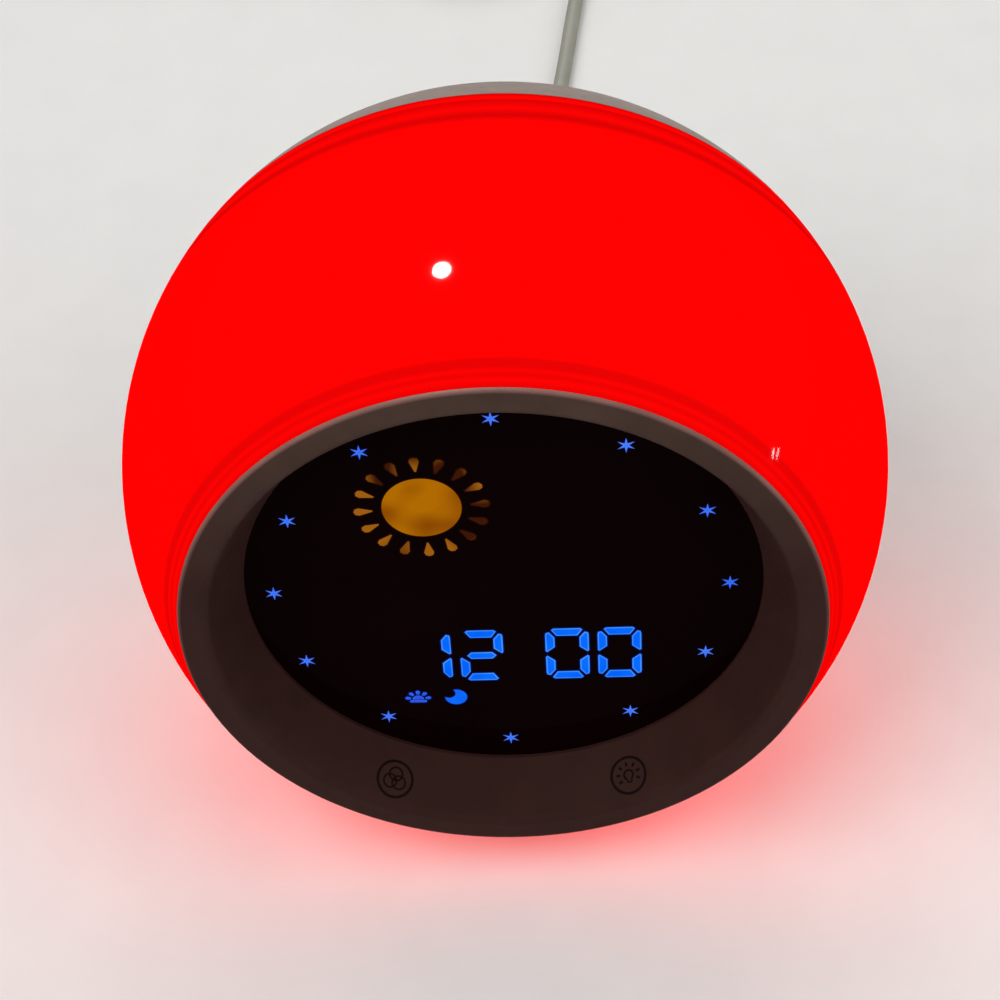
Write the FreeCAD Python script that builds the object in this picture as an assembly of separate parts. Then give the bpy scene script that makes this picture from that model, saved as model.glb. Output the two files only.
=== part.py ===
import FreeCAD, Part
import math
import os

from FreeCAD import Rotation, Vector

# Round bedside alarm clock with a glowing ball
# Millimetres, +Z up, origin on the table under the ball's centre
# Most pieces are drawn about the face axis first: x to the viewer's right, y up the face, z out of the face

# Ball and stance
ball_radius = 75.0
ball_wall = 2.2
base_sink = 8.0
centre_height = ball_radius - base_sink
face_tilt = 8.0

# Clearances
seam_gap = 0.2
slip_gap = 0.3
snug_gap = 0.05

# Front bezel: the window, the sloping dish wall round it and the flat lip at the ball's edge
window_radius = 48.9
dish_width = 7.1
dish_depth = 11.4
lip_width = 4.3
lip_thickness = 1.0
lip_round = 0.8
lip_inner_round = 1.8
window_land = 0.75
bezel_wall = 2.0
spigot_width = 1.8
spigot_depth = 3.6

# Display stack behind the window
lens_lap = 1.8
lens_thickness = 2.0
mask_thickness = 0.4
block_depth = 8.0
board_thickness = 1.6
skirt_overlap = 1.2
insert_depth = 1.4
insert_ledge = 0.35

# Display artwork: plain digits, dots, a sun, a moon and a sunrise
digit_height = 14.4
digit_width = 8.6
digit_stroke = 2.2
digit_corner = 1.3
digit_split = 0.5
digit_centres = (-15.15, -5.05, 11.55, 21.65)
digit_rise = 24.85
colon_dot = 1.7
colon_spread = 6.0
star_inset = 5.8
star_angles = (0.0, 33.8, 63.8, 90.0, 116.2, 146.2, 180.0)
star_reach = 1.55
star_waist = 0.42
sun_angle = 122.8
sun_radius = 7.35
sun_gap = 3.0
ray_count = 16
ray_start = 9.1
ray_end = 12.5
ray_width = 1.9
icon_drop = 4.65
moon_shift = 4.75
moon_radius = 2.1
moon_bite = 1.55
sunrise_shift = -3.05
sunrise_radius = 1.05
sunrise_width = 4.0
sunrise_bar = 0.55
led_length = 1.6
led_width = 0.8
led_height = 0.6

# Reflector cup, screws and touch pads
cup_wall = 1.6
cup_depth = 5.6
flange_width = 5.4
boss_inset = 2.0
boss_radius = 2.6
boss_height = 14.0
pilot_radius = 0.95
screw_head_radius = 2.1
screw_head_height = 1.3
cup_screw_length = 9.0
cable_hole_radius = 10.0
touch_angle = 26.4
touch_pad_width = 9.0
touch_pad_thickness = 0.25
touch_pad_margin = 0.4

# Bulkhead with its post, and the ring of lamps
bulkhead_ahead = 11.6
bulkhead_thickness = 2.0
bulkhead_rim = 2.8
bulkhead_rim_wall = 1.6
post_radius = 15.5
post_screw_circle = 12.8
post_screw_length = 7.0
lamp_board_inner = 20.0
lamp_board_margin = 6.0
lamp_board_clear = 3.6
lamp_count = 12
lamp_inset = 8.0
lamp_size = 5.0
lamp_height = 1.5

# Rear shell
rear_seam_height = -27.0
rear_flat_round = 0.8
rear_spigot_wall = 1.7
rear_boss_circle = 44.0
rear_boss_radius = 4.4
rear_boss_floor = 5.0
rear_screw_radius = 1.1
rear_head_radius = 2.6
rear_screw_reach = 9.0
grille_hole_radius = 1.5
grille_pitch = 5.4
grille_rings = 2

# Push-buttons and their switches
button_names = ("time_button", "alarm_button", "sound_button", "plus_button", "minus_button")
button_angles = (154.0, 122.0, 90.0, 58.0, 26.0)
button_gap = 9.5
button_margin = 2.82
button_radius = 3.8
button_proud = 1.3
button_dome = 0.5
button_flange = 0.9
button_flange_thickness = 0.8
button_travel = 0.8
stem_radius = 1.8
switch_size = 6.0
switch_height = 3.4
plunger_radius = 1.6
plunger_height = 0.5

# Main board and what it carries
main_board_standoff = 6.8
main_board_margin = 2.3
main_board_clear = 3.1
board_post_radius = 2.8
board_post_inset = 4.5
board_post_angles = (75.0, 165.0, 285.0)
chip_size = (9.0, 9.0, 1.4)
sound_chip_size = (5.0, 6.0, 1.6)
crystal_size = (8.0, 3.4, 3.2)
capacitor_radius = 3.0
capacitor_height = 7.0
capacitor_angles = (296.0, 309.0)
cell_radius = 10.0
cell_thickness = 3.2
cell_angle = 205.0
holder_wall = 1.0
holder_floor = 0.8

# Loudspeaker
speaker_radius = 19.5
speaker_flange = 2.6
speaker_depth = 13.0
speaker_rim = 1.2
basket_wall = 0.8
cone_wall = 0.5
cone_rim_width = 2.2
cone_depth = 4.2
dust_cap_radius = 6.0
magnet_radius = 10.5
magnet_height = 5.0
speaker_rib = 1.4
speaker_rib_height = 2.4

# Base plate and foot
base_cut = 4.2
plate_rim = 2.4
plate_ring_wall = 1.6
plate_ring_height = 4.6
foot_inset = 2.7
foot_width = 6.0
foot_seat = 0.6
foot_round = 0.5
base_foot_half = 21.0
base_foot_depth = 13.0
base_foot_height = 9.0
base_screw_spread = 15.0
base_screw_length = 7.0

# Ribbon cable between the boards
ribbon_width = 10.0
ribbon_thickness = 0.8
ribbon_bend = 6.0
ribbon_level = -30.0
connector_height = 4.0
connector_inset = 1.0

# Supply lead: round jack, moulded plug, cord, and a USB plug of the standard size at the far end
socket_radius = 4.3
socket_recess = 0.6
socket_pin = 0.5
socket_inset = 1.0
plug_bore = 1.9
plug_tip_radius = 1.75
plug_tip_bore = 0.75
plug_tip_length = 6.8
boot_radius = 4.2
boot_length = 17.0
relief_length = 13.0
relief_radius = 3.4
relief_rings = 4
cord_diameter = 4.0
usb_width = 12.0
usb_height = 4.5
usb_length = 12.0
usb_wall = 0.4
usb_tongue_height = 1.8
grip_width = 15.4
grip_height = 8.0
grip_length = 22.0
grip_round = 2.2
grip_relief = 11.0

# Route of the lead behind the clock: down to the table, out of sight to the coil, then on to the USB plug
cord_route = (
    (0.0, 90.57, 26.0),
    (0.0, 110.38, 23.22),
    (2.0, 129.8, 16.3),
    (5.4, 148.0, 7.6),
    (9.4, 165.5, 2.0),
    (12.6, 187.0, 2.0),
    (15.4, 209.6, 2.0),
    (18.75, 228.5, 3.0),
    (18.75, 246.0, 3.0),
)
tail_route = (
    (-16.0, 279.625, 7.5),
    (-29.0, 279.625, 7.5),
    (-42.0, 281.8, 5.4),
    (-54.5, 282.6, 4.0),
    (-66.0, 282.6, 4.0),
)

# Coil of the length that is put away, two layers that spiral in and out again
coil_centre = (-12.0, 250.0)
coil_level = 3.0
coil_outer_radius = 30.75
coil_pitch = 4.5
coil_turns = 6.25
coil_climb_start = 3.0
coil_climb_turns = 0.5
coil_sides = 8
tie_wall = 0.8
tie_width = 7.0
tie_slack = 0.45


def ring_at(radius, height):
    """Radius of the circle that a sphere has at a height from its centre."""
    return math.sqrt(radius ** 2 - height ** 2)


def sphere_to(radius, start, end):
    """Outline corner reached along a sphere's meridian, from one height to another."""
    middle = (math.asin(start / radius) + math.asin(end / radius)) / 2
    return ring_at(radius, end), end, radius * math.cos(middle), radius * math.sin(middle)


def outline_wire(outline):
    """Closed wire in the x-z plane; a corner of four numbers is reached by an arc through its last two."""
    edges = []
    last = Vector(outline[-1][0], 0, outline[-1][1])
    for corner in outline:
        point = Vector(corner[0], 0, corner[1])
        if len(corner) == 4:
            edges.append(Part.Arc(last, Vector(corner[2], 0, corner[3]), point).toShape())
        elif last.distanceToPoint(point) > 1e-6:
            edges.append(Part.LineSegment(last, point).toShape())
        last = point
    return Part.Wire(edges)


def revolved(outline):
    """Solid turned about the face axis from an outline of (radius, height) corners."""
    return Part.Face(outline_wire(outline)).revolve(Vector(), Vector(0, 0, 1), 360)


def cylinder(radius, bottom, top, x=0.0, y=0.0):
    return Part.makeCylinder(radius, top - bottom, Vector(x, y, bottom))


def tube(outer, inner, bottom, top, x=0.0, y=0.0):
    return cylinder(outer, bottom, top, x, y).cut(cylinder(inner, bottom - 1, top + 1, x, y))


def block(width, depth, bottom, top, x=0.0, y=0.0):
    return Part.makeBox(width, depth, top - bottom, Vector(x - width / 2, y - depth / 2, bottom))


def around(radius, angle):
    """Place on a circle about the face axis, the angle counted anticlockwise from the viewer's right."""
    turn = math.radians(angle)
    return radius * math.cos(turn), radius * math.sin(turn)


def prism(points, bottom, top):
    """Solid between two heights on a flat outline of straight sides."""
    corners = [Vector(x, y, bottom) for x, y in points]
    return Part.Face(Part.makePolygon(corners + corners[:1])).extrude(Vector(0, 0, top - bottom))


def joined(shapes):
    return shapes[0].multiFuse(shapes[1:]) if len(shapes) > 1 else shapes[0]


def on_face(shape):
    """Carry a shape drawn about the face axis to its place in the standing clock."""
    placed = shape.copy()
    placed.rotate(Vector(), Vector(1, 0, 0), 90 - face_tilt)
    placed.translate(Vector(0, 0, centre_height))
    return placed


def face_point(x, y, z):
    """Place in the standing clock of a point given about the face axis."""
    turned = Rotation(Vector(1, 0, 0), 90 - face_tilt).multVec(Vector(x, y, z))
    return turned + Vector(0, 0, centre_height)


def above(shape, height):
    """What is left of a standing shape above a level."""
    reach = 4 * ball_radius
    return shape.cut(Part.makeBox(reach, reach, reach, Vector(-reach / 2, -reach / 2, height - reach)))


def save(name, shape):
    """Write one node; several pieces of one kind stay separate solids in it."""
    solids = shape.Solids
    made = solids[0] if len(solids) == 1 else Part.makeCompound(solids)
    if not made.isValid():
        raise ValueError(name + " is not a sound solid")
    made.exportStep("parts/" + name + ".step")
    print(name, len(solids), "solids,", round(made.Volume, 1), "mm3")


# Radii from the window out to the ball, and where the ball has them
lip_inner_radius = window_radius + dish_width
rim_radius = lip_inner_radius + lip_width
star_circle = window_radius - star_inset
stack_radius = window_radius + lens_lap
skirt_inner = stack_radius + slip_gap
skirt_outer = skirt_inner + bezel_wall
boss_circle = skirt_outer + boss_inset
flange_radius = skirt_outer + flange_width
bezel_seam_height = ring_at(ball_radius, rim_radius)

# Heights of the stack, from the window back to the bulkhead
lip_height = bezel_seam_height + lip_thickness
lens_face_height = bezel_seam_height - dish_depth
window_edge_height = lens_face_height + window_land
lens_back = lens_face_height - lens_thickness
mask_back = lens_back - mask_thickness
block_back = mask_back - block_depth
display_board_back = block_back - board_thickness
skirt_end = block_back + skirt_overlap
cup_floor_top = display_board_back - cup_depth
cup_floor_back = cup_floor_top - cup_wall
bulkhead_height = rear_seam_height + bulkhead_ahead
bulkhead_back = bulkhead_height - bulkhead_thickness

# Places of the display's artwork, measured from the circle of hour marks
digit_line = digit_rise - star_circle
icon_line = digit_line - digit_height / 2 - icon_drop
moon_centre = (digit_centres[0] + moon_shift, icon_line)
sunrise_centre = (digit_centres[0] + sunrise_shift, icon_line)
sun_centre = around(star_circle - star_reach - sun_gap - ray_end, sun_angle)

# The rear: the flat back is as wide as its ring of buttons needs
inner_radius = ball_radius - ball_wall
button_circle = speaker_radius + button_gap
rear_flat_radius = button_circle + button_radius + button_margin
rear_flat_height = -ring_at(ball_radius, rear_flat_radius)
rear_inner_height = rear_flat_height + ball_wall
rear_spigot_outer = ring_at(inner_radius, rear_seam_height) - slip_gap
spigot_outer = ring_at(inner_radius, bezel_seam_height) - slip_gap
spigot_inner = spigot_outer - spigot_width
socket_mouth = rear_flat_height + socket_recess
socket_drop = button_circle - socket_inset
ribbon_start = button_circle - connector_inset
main_board_back = rear_inner_height + main_board_standoff
main_board_front = main_board_back + board_thickness
main_board_radius = ring_at(inner_radius, main_board_back) - main_board_margin
main_board_hole = speaker_radius + main_board_clear
board_middle = (main_board_radius + main_board_hole) / 2
board_post_circle = main_board_radius - board_post_inset
switch_front = main_board_back - switch_height - plunger_height

# The base, and the lamp board that has to clear the bulkhead's foot
plate_top = base_cut - seam_gap
plate_low = plate_top - plate_rim
plate_ring_outer = ring_at(inner_radius, base_cut - centre_height) - slip_gap
plate_rim_radius = ring_at(ball_radius, plate_low - centre_height)
foot_outer = plate_rim_radius - foot_inset
foot_inner = foot_outer - foot_width
lean = math.radians(face_tilt)
foot_clear = centre_height + bulkhead_height * math.sin(lean) - plate_top - base_foot_height
lamp_board_flat = foot_clear / math.cos(lean) - lamp_board_clear
lamp_board_outer = rear_boss_circle + lamp_board_margin
lamp_circle = rear_boss_circle - lamp_inset

# Slope of the dish wall, from the window's edge to the rounding under the lip
dish_run = lip_inner_radius - lip_inner_round - window_radius
dish_rise = lip_height - 0.7 * lip_inner_round - window_edge_height
dish_slope = math.hypot(dish_run, dish_rise)


def dish_back(radius):
    """Height of the dish wall's back at a radius."""
    foot_x = window_radius + bezel_wall * dish_rise / dish_slope
    foot_z = window_edge_height - bezel_wall * dish_run / dish_slope
    return foot_z + (radius - foot_x) * dish_rise / dish_run


def front_bezel():
    """Dished ring with a rounded lip, a skirt round the display stack and four screw bosses behind."""
    corner = 0.3 * lip_round
    ring = revolved([
        (rim_radius, bezel_seam_height + seam_gap),
        (rim_radius - lip_round, lip_height, rim_radius - corner, lip_height - corner),
        (lip_inner_radius, lip_height),
        (window_radius + dish_run, window_edge_height + dish_rise,
         lip_inner_radius - 0.6 * lip_inner_round, lip_height - 0.2 * lip_inner_round),
        (window_radius, window_edge_height),
        (window_radius, lens_face_height),
        (skirt_inner, lens_face_height),
        (skirt_inner, skirt_end),
        (skirt_outer, skirt_end),
        (skirt_outer, dish_back(skirt_outer)),
        (spigot_inner, dish_back(spigot_inner)),
        (spigot_inner, bezel_seam_height - spigot_depth),
        (spigot_outer, bezel_seam_height - spigot_depth),
        (spigot_outer, bezel_seam_height + seam_gap),
    ])
    bosses = [
        cylinder(boss_radius, skirt_end, skirt_end + boss_height, *around(boss_circle, a))
        for a in cup_screw_angles
    ]
    pilots = [
        cylinder(pilot_radius, skirt_end - 1, skirt_end + cup_screw_length, *around(boss_circle, a))
        for a in cup_screw_angles
    ]
    stack = cylinder(skirt_inner, skirt_end - 1, lens_face_height)
    return joined([ring] + bosses).cut(joined(pilots)).cut(stack)


cup_screw_angles = (45.0, 135.0, 225.0, 315.0)


def widened(outline, grow):
    """Outline of straight sides with every side moved outwards; a negative amount moves them in."""
    if not grow:
        return outline
    ahead = outline[1:] + outline[:1]
    area = sum(a[0] * b[1] - b[0] * a[1] for a, b in zip(outline, ahead))
    side = grow if area > 0 else -grow
    normals = []
    for a, b in zip(outline, ahead):
        length = math.hypot(b[0] - a[0], b[1] - a[1])
        normals.append(((b[1] - a[1]) / length, (a[0] - b[0]) / length))
    moved = []
    for (x, y), (ax, ay), (bx, by) in zip(outline, normals[-1:] + normals[:-1], normals):
        share = side / (1 + ax * bx + ay * by)
        moved.append((x + share * (ax + bx), y + share * (ay + by)))
    return moved


def segment_outlines():
    """The seven bars of one digit about its centre, each a list of corners."""
    half_w, half_h, stroke, corner = digit_width / 2, digit_height / 2, digit_stroke, digit_corner
    top = [
        (corner - half_w, half_h), (half_w - corner, half_h),
        (half_w - stroke, half_h - stroke), (stroke - half_w, half_h - stroke),
    ]
    side = [
        (half_w - 0.45 * corner, half_h - corner), (half_w, half_h - 1.35 * corner), (half_w, digit_split),
        (half_w - stroke, 0.95 * stroke), (half_w - stroke, half_h - 1.45 * stroke),
    ]
    reach, flat = half_w - corner - 0.1, half_w - stroke - 0.1
    thick = 0.45 * stroke
    middle = [(-reach, 0), (-flat, thick), (flat, thick), (reach, 0), (flat, -thick), (-flat, -thick)]
    below = [(x, -y) for x, y in top]
    sides = [[(sx * x, sy * y) for x, y in side] for sx in (1, -1) for sy in (1, -1)]
    return [top, middle, below] + sides


def digit_shapes(bottom, top, grow=0.0):
    """Bars of the four digits and the two dots between them."""
    shapes = []
    for centre in digit_centres:
        for outline in segment_outlines():
            placed = [(x + centre, y + digit_line) for x, y in outline]
            shapes.append(prism(widened(placed, grow), bottom, top))
    colon_x = (digit_centres[1] + digit_centres[2]) / 2
    size = colon_dot + 2 * grow
    for side in (-1, 1):
        shapes.append(block(size, size, bottom, top, colon_x, digit_line + side * colon_spread / 2))
    return shapes


def star_places():
    """Centres of the twelve hour marks, half of them mirrored."""
    right = [around(star_circle, 90 - a) for a in star_angles]
    return right + [(-x, y) for x, y in right[1:-1]]


def star_shapes(bottom, top, grow=0.0):
    """Six-armed marks with thin points."""
    shapes = []
    for x, y in star_places():
        points = []
        for k in range(12):
            dx, dy = around(star_waist if k % 2 else star_reach, 90 + 30 * k)
            points.append((x + dx, y + dy))
        shapes.append(prism(widened(points, grow), bottom, top))
    return shapes


def sun_shapes(bottom, top, grow=0.0):
    """Sun disc and its drop-shaped rays, blunt outside and pointed inside."""
    x, y = sun_centre
    shapes = [cylinder(sun_radius + grow, bottom, top, x, y)]
    half = ray_width / 2
    drop = [
        (ray_start, -0.15 * half), (ray_end - 1.1 * half, -half), (ray_end - 0.3 * half, -0.75 * half),
        (ray_end, 0), (ray_end - 0.3 * half, 0.75 * half), (ray_end - 1.1 * half, half),
        (ray_start, 0.15 * half),
    ]
    for k in range(ray_count):
        ray = prism(widened(drop, grow), bottom, top)
        ray.rotate(Vector(), Vector(0, 0, 1), 360 / ray_count * (k + 0.35))
        ray.translate(Vector(x, y, 0))
        shapes.append(ray)
    return shapes


def icon_shapes(bottom, top, grow=0.0):
    """Crescent moon, and a half sun with five rays over a bar."""
    mx, my = moon_centre
    moon = cylinder(moon_radius + grow, bottom, top, mx, my)
    bite_x, bite_y = around(0.75 * moon_radius, 135)
    moon = moon.cut(cylinder(moon_bite - grow, bottom - 1, top + 1, mx + bite_x, my + bite_y))
    sx, sy = sunrise_centre
    under = block(3 * sunrise_width, sunrise_width, bottom - 1, top + 1, sx, sy - sunrise_width / 2 - grow)
    dome = cylinder(sunrise_radius + grow, bottom, top, sx, sy).cut(under)
    bar_y = sy - 2 * sunrise_bar
    shapes = [moon, dome, block(sunrise_width + 2 * grow, sunrise_bar + 2 * grow, bottom, top, sx, bar_y)]
    for angle in (10, 50, 90, 130, 170):
        ray = block(0.8 + 2 * grow, 0.45 + 2 * grow, bottom, top, sunrise_radius + 1.05, 0)
        ray.rotate(Vector(), Vector(0, 0, 1), angle)
        ray.translate(Vector(sx, sy, 0))
        shapes.append(ray)
    return shapes


def display_lens():
    return cylinder(stack_radius, lens_back, lens_face_height)


def display_mask():
    """Black sheet with the digits, hour marks and symbols cut out of it."""
    reach = (mask_back - 1, lens_back + 1)
    cuts = digit_shapes(*reach) + star_shapes(*reach) + sun_shapes(*reach) + icon_shapes(*reach)
    return cylinder(stack_radius, mask_back, lens_back).cut(Part.makeCompound(cuts))


def light_block():
    """White block with a stepped light tunnel behind every bar, mark and symbol."""
    ledge = mask_back - insert_depth
    pockets = (ledge, mask_back + 1, snug_gap)
    body = cylinder(stack_radius, block_back, mask_back)
    seats = digit_shapes(*pockets) + star_shapes(*pockets) + sun_shapes(*pockets) + icon_shapes(*pockets)
    wells = (block_back - 1, ledge + 0.5)
    tunnels = digit_shapes(*wells, grow=-insert_ledge)
    tunnels += [prism_hexagon(0.75, *wells, x, y) for x, y in star_places()]
    tunnels += [cylinder(sun_radius - insert_ledge, *wells, *sun_centre)]
    for k in range(ray_count):
        dx, dy = around((ray_start + 2 * ray_end) / 3, 360 / ray_count * (k + 0.35))
        tunnels.append(prism_hexagon(0.5, *wells, sun_centre[0] + dx, sun_centre[1] + dy))
    tunnels.append(prism_hexagon(1.0, *wells, moon_centre[0] + 0.35, moon_centre[1] - 0.35))
    tunnels.append(block(0.6 * sunrise_width, 0.6, *wells, sunrise_centre[0], sunrise_centre[1] + 0.3))
    return body.cut(Part.makeCompound(seats)).cut(Part.makeCompound(tunnels))


def prism_hexagon(radius, bottom, top, x, y):
    points = [around(radius, 60 * k) for k in range(6)]
    return prism([(x + px, y + py) for px, py in points], bottom, top)


def light_inserts():
    """Clear inserts that lie in the light block, flush with its front face."""
    reach = (mask_back - insert_depth, mask_back)
    return {
        "digit_segments": digit_shapes(*reach),
        "hour_marks": star_shapes(*reach),
        "sun_window": sun_shapes(*reach),
        "icon_windows": icon_shapes(*reach),
    }


def display_board():
    """Round board behind the light block, with a notch that keys it to the cup."""
    board = cylinder(stack_radius, display_board_back, block_back)
    return board.cut(block(6, 4, display_board_back - 1, block_back + 1, 0, -stack_radius))


def display_leds():
    """One small lamp at the bottom of each light tunnel."""
    places = []
    for centre in digit_centres:
        for outline in segment_outlines():
            x = sum(p[0] for p in outline) / len(outline) + centre
            y = sum(p[1] for p in outline) / len(outline) + digit_line
            upright = abs(x - centre) > digit_width / 4
            places.append((x, y, upright))
    for k in range(4):
        dx, dy = around(0.5 * sun_radius, 45 + 90 * k)
        places.append((sun_centre[0] + dx, sun_centre[1] + dy, False))
    leds = []
    for x, y, upright in places:
        size = (led_width, led_length) if upright else (led_length, led_width)
        leds.append(block(*size, block_back, block_back + led_height, x, y))
    for x, y in star_places():
        leds.append(block(led_width, led_width, block_back, block_back + led_height, x, y))
    return leds


def reflector_cup():
    """White cup that closes the display from behind and throws the lamp's light back into the ball."""
    wall_top = cup_floor_back + 6
    rib = stack_radius - 5
    cup = revolved([
        (flange_radius, skirt_end),
        (skirt_inner, skirt_end),
        (skirt_inner, wall_top),
        (rib, cup_floor_top),
        (rib, display_board_back),
        (rib - cup_wall, display_board_back),
        (rib - cup_wall, cup_floor_top),
        (cable_hole_radius, cup_floor_top),
        (cable_hole_radius, cup_floor_back),
        (rib + 0.3 * cup_wall, cup_floor_back),
        (skirt_inner + cup_wall, wall_top - 0.5 * cup_wall),
        (skirt_inner + cup_wall, skirt_end - cup_wall),
        (flange_radius, skirt_end - cup_wall),
    ])
    holes = [
        cylinder(pilot_radius + slip_gap, skirt_end - 5, skirt_end + 1, *around(boss_circle, a))
        for a in cup_screw_angles
    ]
    holes += [
        cylinder(pilot_radius + slip_gap, cup_floor_back - 1, cup_floor_top + 1, *around(post_screw_circle, a))
        for a in post_screw_angles
    ]
    return cup.cut(joined(holes))


post_screw_angles = (90.0, 210.0, 330.0)


def screw(shank_radius, head_radius, head_seat, reach, x, y, forward=1):
    """Flat-headed screw; forward is 1 where it is driven towards the face and -1 where it is driven back."""
    head = cylinder(head_radius, head_seat - screw_head_height, head_seat, x, y)
    shape = head.fuse(cylinder(shank_radius, head_seat, head_seat + reach, x, y))
    return shape if forward > 0 else shape.mirror(Vector(0, 0, head_seat), Vector(0, 0, 1))


def display_screws():
    """Four screws that hold the cup to the bezel, and three that hold it to the post."""
    shank = pilot_radius - snug_gap
    shapes = []
    for a in cup_screw_angles:
        reach = cup_wall + cup_screw_length - 1
        shapes.append(screw(shank, screw_head_radius, skirt_end - cup_wall, reach, *around(boss_circle, a)))
    for a in post_screw_angles:
        reach = cup_wall + post_screw_length - 1
        shapes.append(screw(shank, screw_head_radius, cup_floor_top, reach, *around(post_screw_circle, a), -1))
    return shapes


def touch_pads():
    """Two foil pads stuck behind the dish wall where the touch marks are."""
    shapes = []
    turn = math.degrees(touch_pad_width / skirt_outer)
    corners = []
    for radius, lift in ((skirt_outer + touch_pad_margin, 0), (spigot_inner - touch_pad_margin, 0),
                         (spigot_inner - touch_pad_margin, 1), (skirt_outer + touch_pad_margin, 1)):
        away = snug_gap + lift * touch_pad_thickness
        x = radius + away * dish_rise / dish_slope
        corners.append((x, dish_back(radius) - away * dish_run / dish_slope))
    for side in (-1, 1):
        pad = Part.Face(outline_wire(corners)).revolve(Vector(), Vector(0, 0, 1), turn)
        pad.rotate(Vector(), Vector(0, 0, 1), 270 + side * touch_angle - turn / 2)
        shapes.append(pad)
    return shapes


def diffuser_shell():
    """Milky zone of the ball between the bezel and the rear shell."""
    rear = rear_seam_height + seam_gap
    zone = revolved([
        (ring_at(ball_radius, rear), rear),
        sphere_to(ball_radius, rear, bezel_seam_height),
        (ring_at(inner_radius, bezel_seam_height), bezel_seam_height),
        sphere_to(inner_radius, bezel_seam_height, rear),
    ])
    return above(on_face(zone), base_cut)


def core_frame():
    """White bulkhead across the ball, with the post that carries the display and a foot on the base plate."""
    edge = ring_at(inner_radius, bulkhead_back) - slip_gap
    rim_top = bulkhead_height + bulkhead_rim
    disc = revolved([
        (cable_hole_radius, bulkhead_back),
        (edge - 0.5, bulkhead_back),
        (edge, rim_top),
        (edge - bulkhead_rim_wall, rim_top),
        (edge - bulkhead_rim_wall, bulkhead_height),
        (post_radius, bulkhead_height),
        (post_radius, cup_floor_back),
        (cable_hole_radius, cup_floor_back),
    ])
    towers = [
        cylinder(rear_boss_radius - 1, bulkhead_height - 0.5, bulkhead_back + rear_screw_reach + 2,
                 *around(rear_boss_circle, a))
        for a in cup_screw_angles
    ]
    pilots = [
        cylinder(rear_screw_radius + snug_gap, bulkhead_back - 1, bulkhead_back + rear_screw_reach + 1,
                 *around(rear_boss_circle, a))
        for a in cup_screw_angles
    ]
    pilots += [
        cylinder(pilot_radius, cup_floor_back - post_screw_length, cup_floor_back + 1,
                 *around(post_screw_circle, a))
        for a in post_screw_angles
    ]
    frame = above(on_face(joined([disc] + towers).cut(joined(pilots))), base_cut + plate_ring_height + 1)
    foot_y = base_screw_places()[0][1]
    foot = block(2 * base_foot_half, base_foot_depth, plate_top, plate_top + base_foot_height, 0, foot_y)
    holes = [
        cylinder(pilot_radius, plate_top - 1, plate_top + base_screw_length, *place)
        for place in base_screw_places()
    ]
    return frame.fuse(foot).cut(joined(holes)).removeSplitter()


def lamp_board():
    """Ring-shaped board on the bulkhead, cleared round the four screw towers and flat above the foot."""
    ring = tube(lamp_board_outer, lamp_board_inner, bulkhead_height, bulkhead_height + board_thickness)
    clear = rear_boss_radius - 1 + slip_gap
    holes = [
        cylinder(clear, bulkhead_height - 1, bulkhead_height + 5, *around(rear_boss_circle, a))
        for a in cup_screw_angles
    ]
    below = block(2 * lamp_board_outer, lamp_board_outer, bulkhead_height - 1, bulkhead_height + 5,
                  0, -lamp_board_flat - lamp_board_outer / 2)
    return ring.cut(joined(holes + [below]))


def lamp_leds():
    bottom = bulkhead_height + board_thickness
    shapes = []
    for k in range(lamp_count):
        led = block(lamp_size, lamp_size, bottom, bottom + lamp_height, lamp_circle, 0)
        led.rotate(Vector(), Vector(0, 0, 1), 360 / lamp_count * k)
        shapes.append(led)
    return shapes


def grille_places():
    """Hexagonal pattern of sound holes about the face axis."""
    places = []
    for i in range(-grille_rings, grille_rings + 1):
        for j in range(-grille_rings, grille_rings + 1):
            if abs(i + j) <= grille_rings:
                places.append((grille_pitch * (i + j / 2), grille_pitch * j * math.sqrt(3) / 2))
    return places


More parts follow.
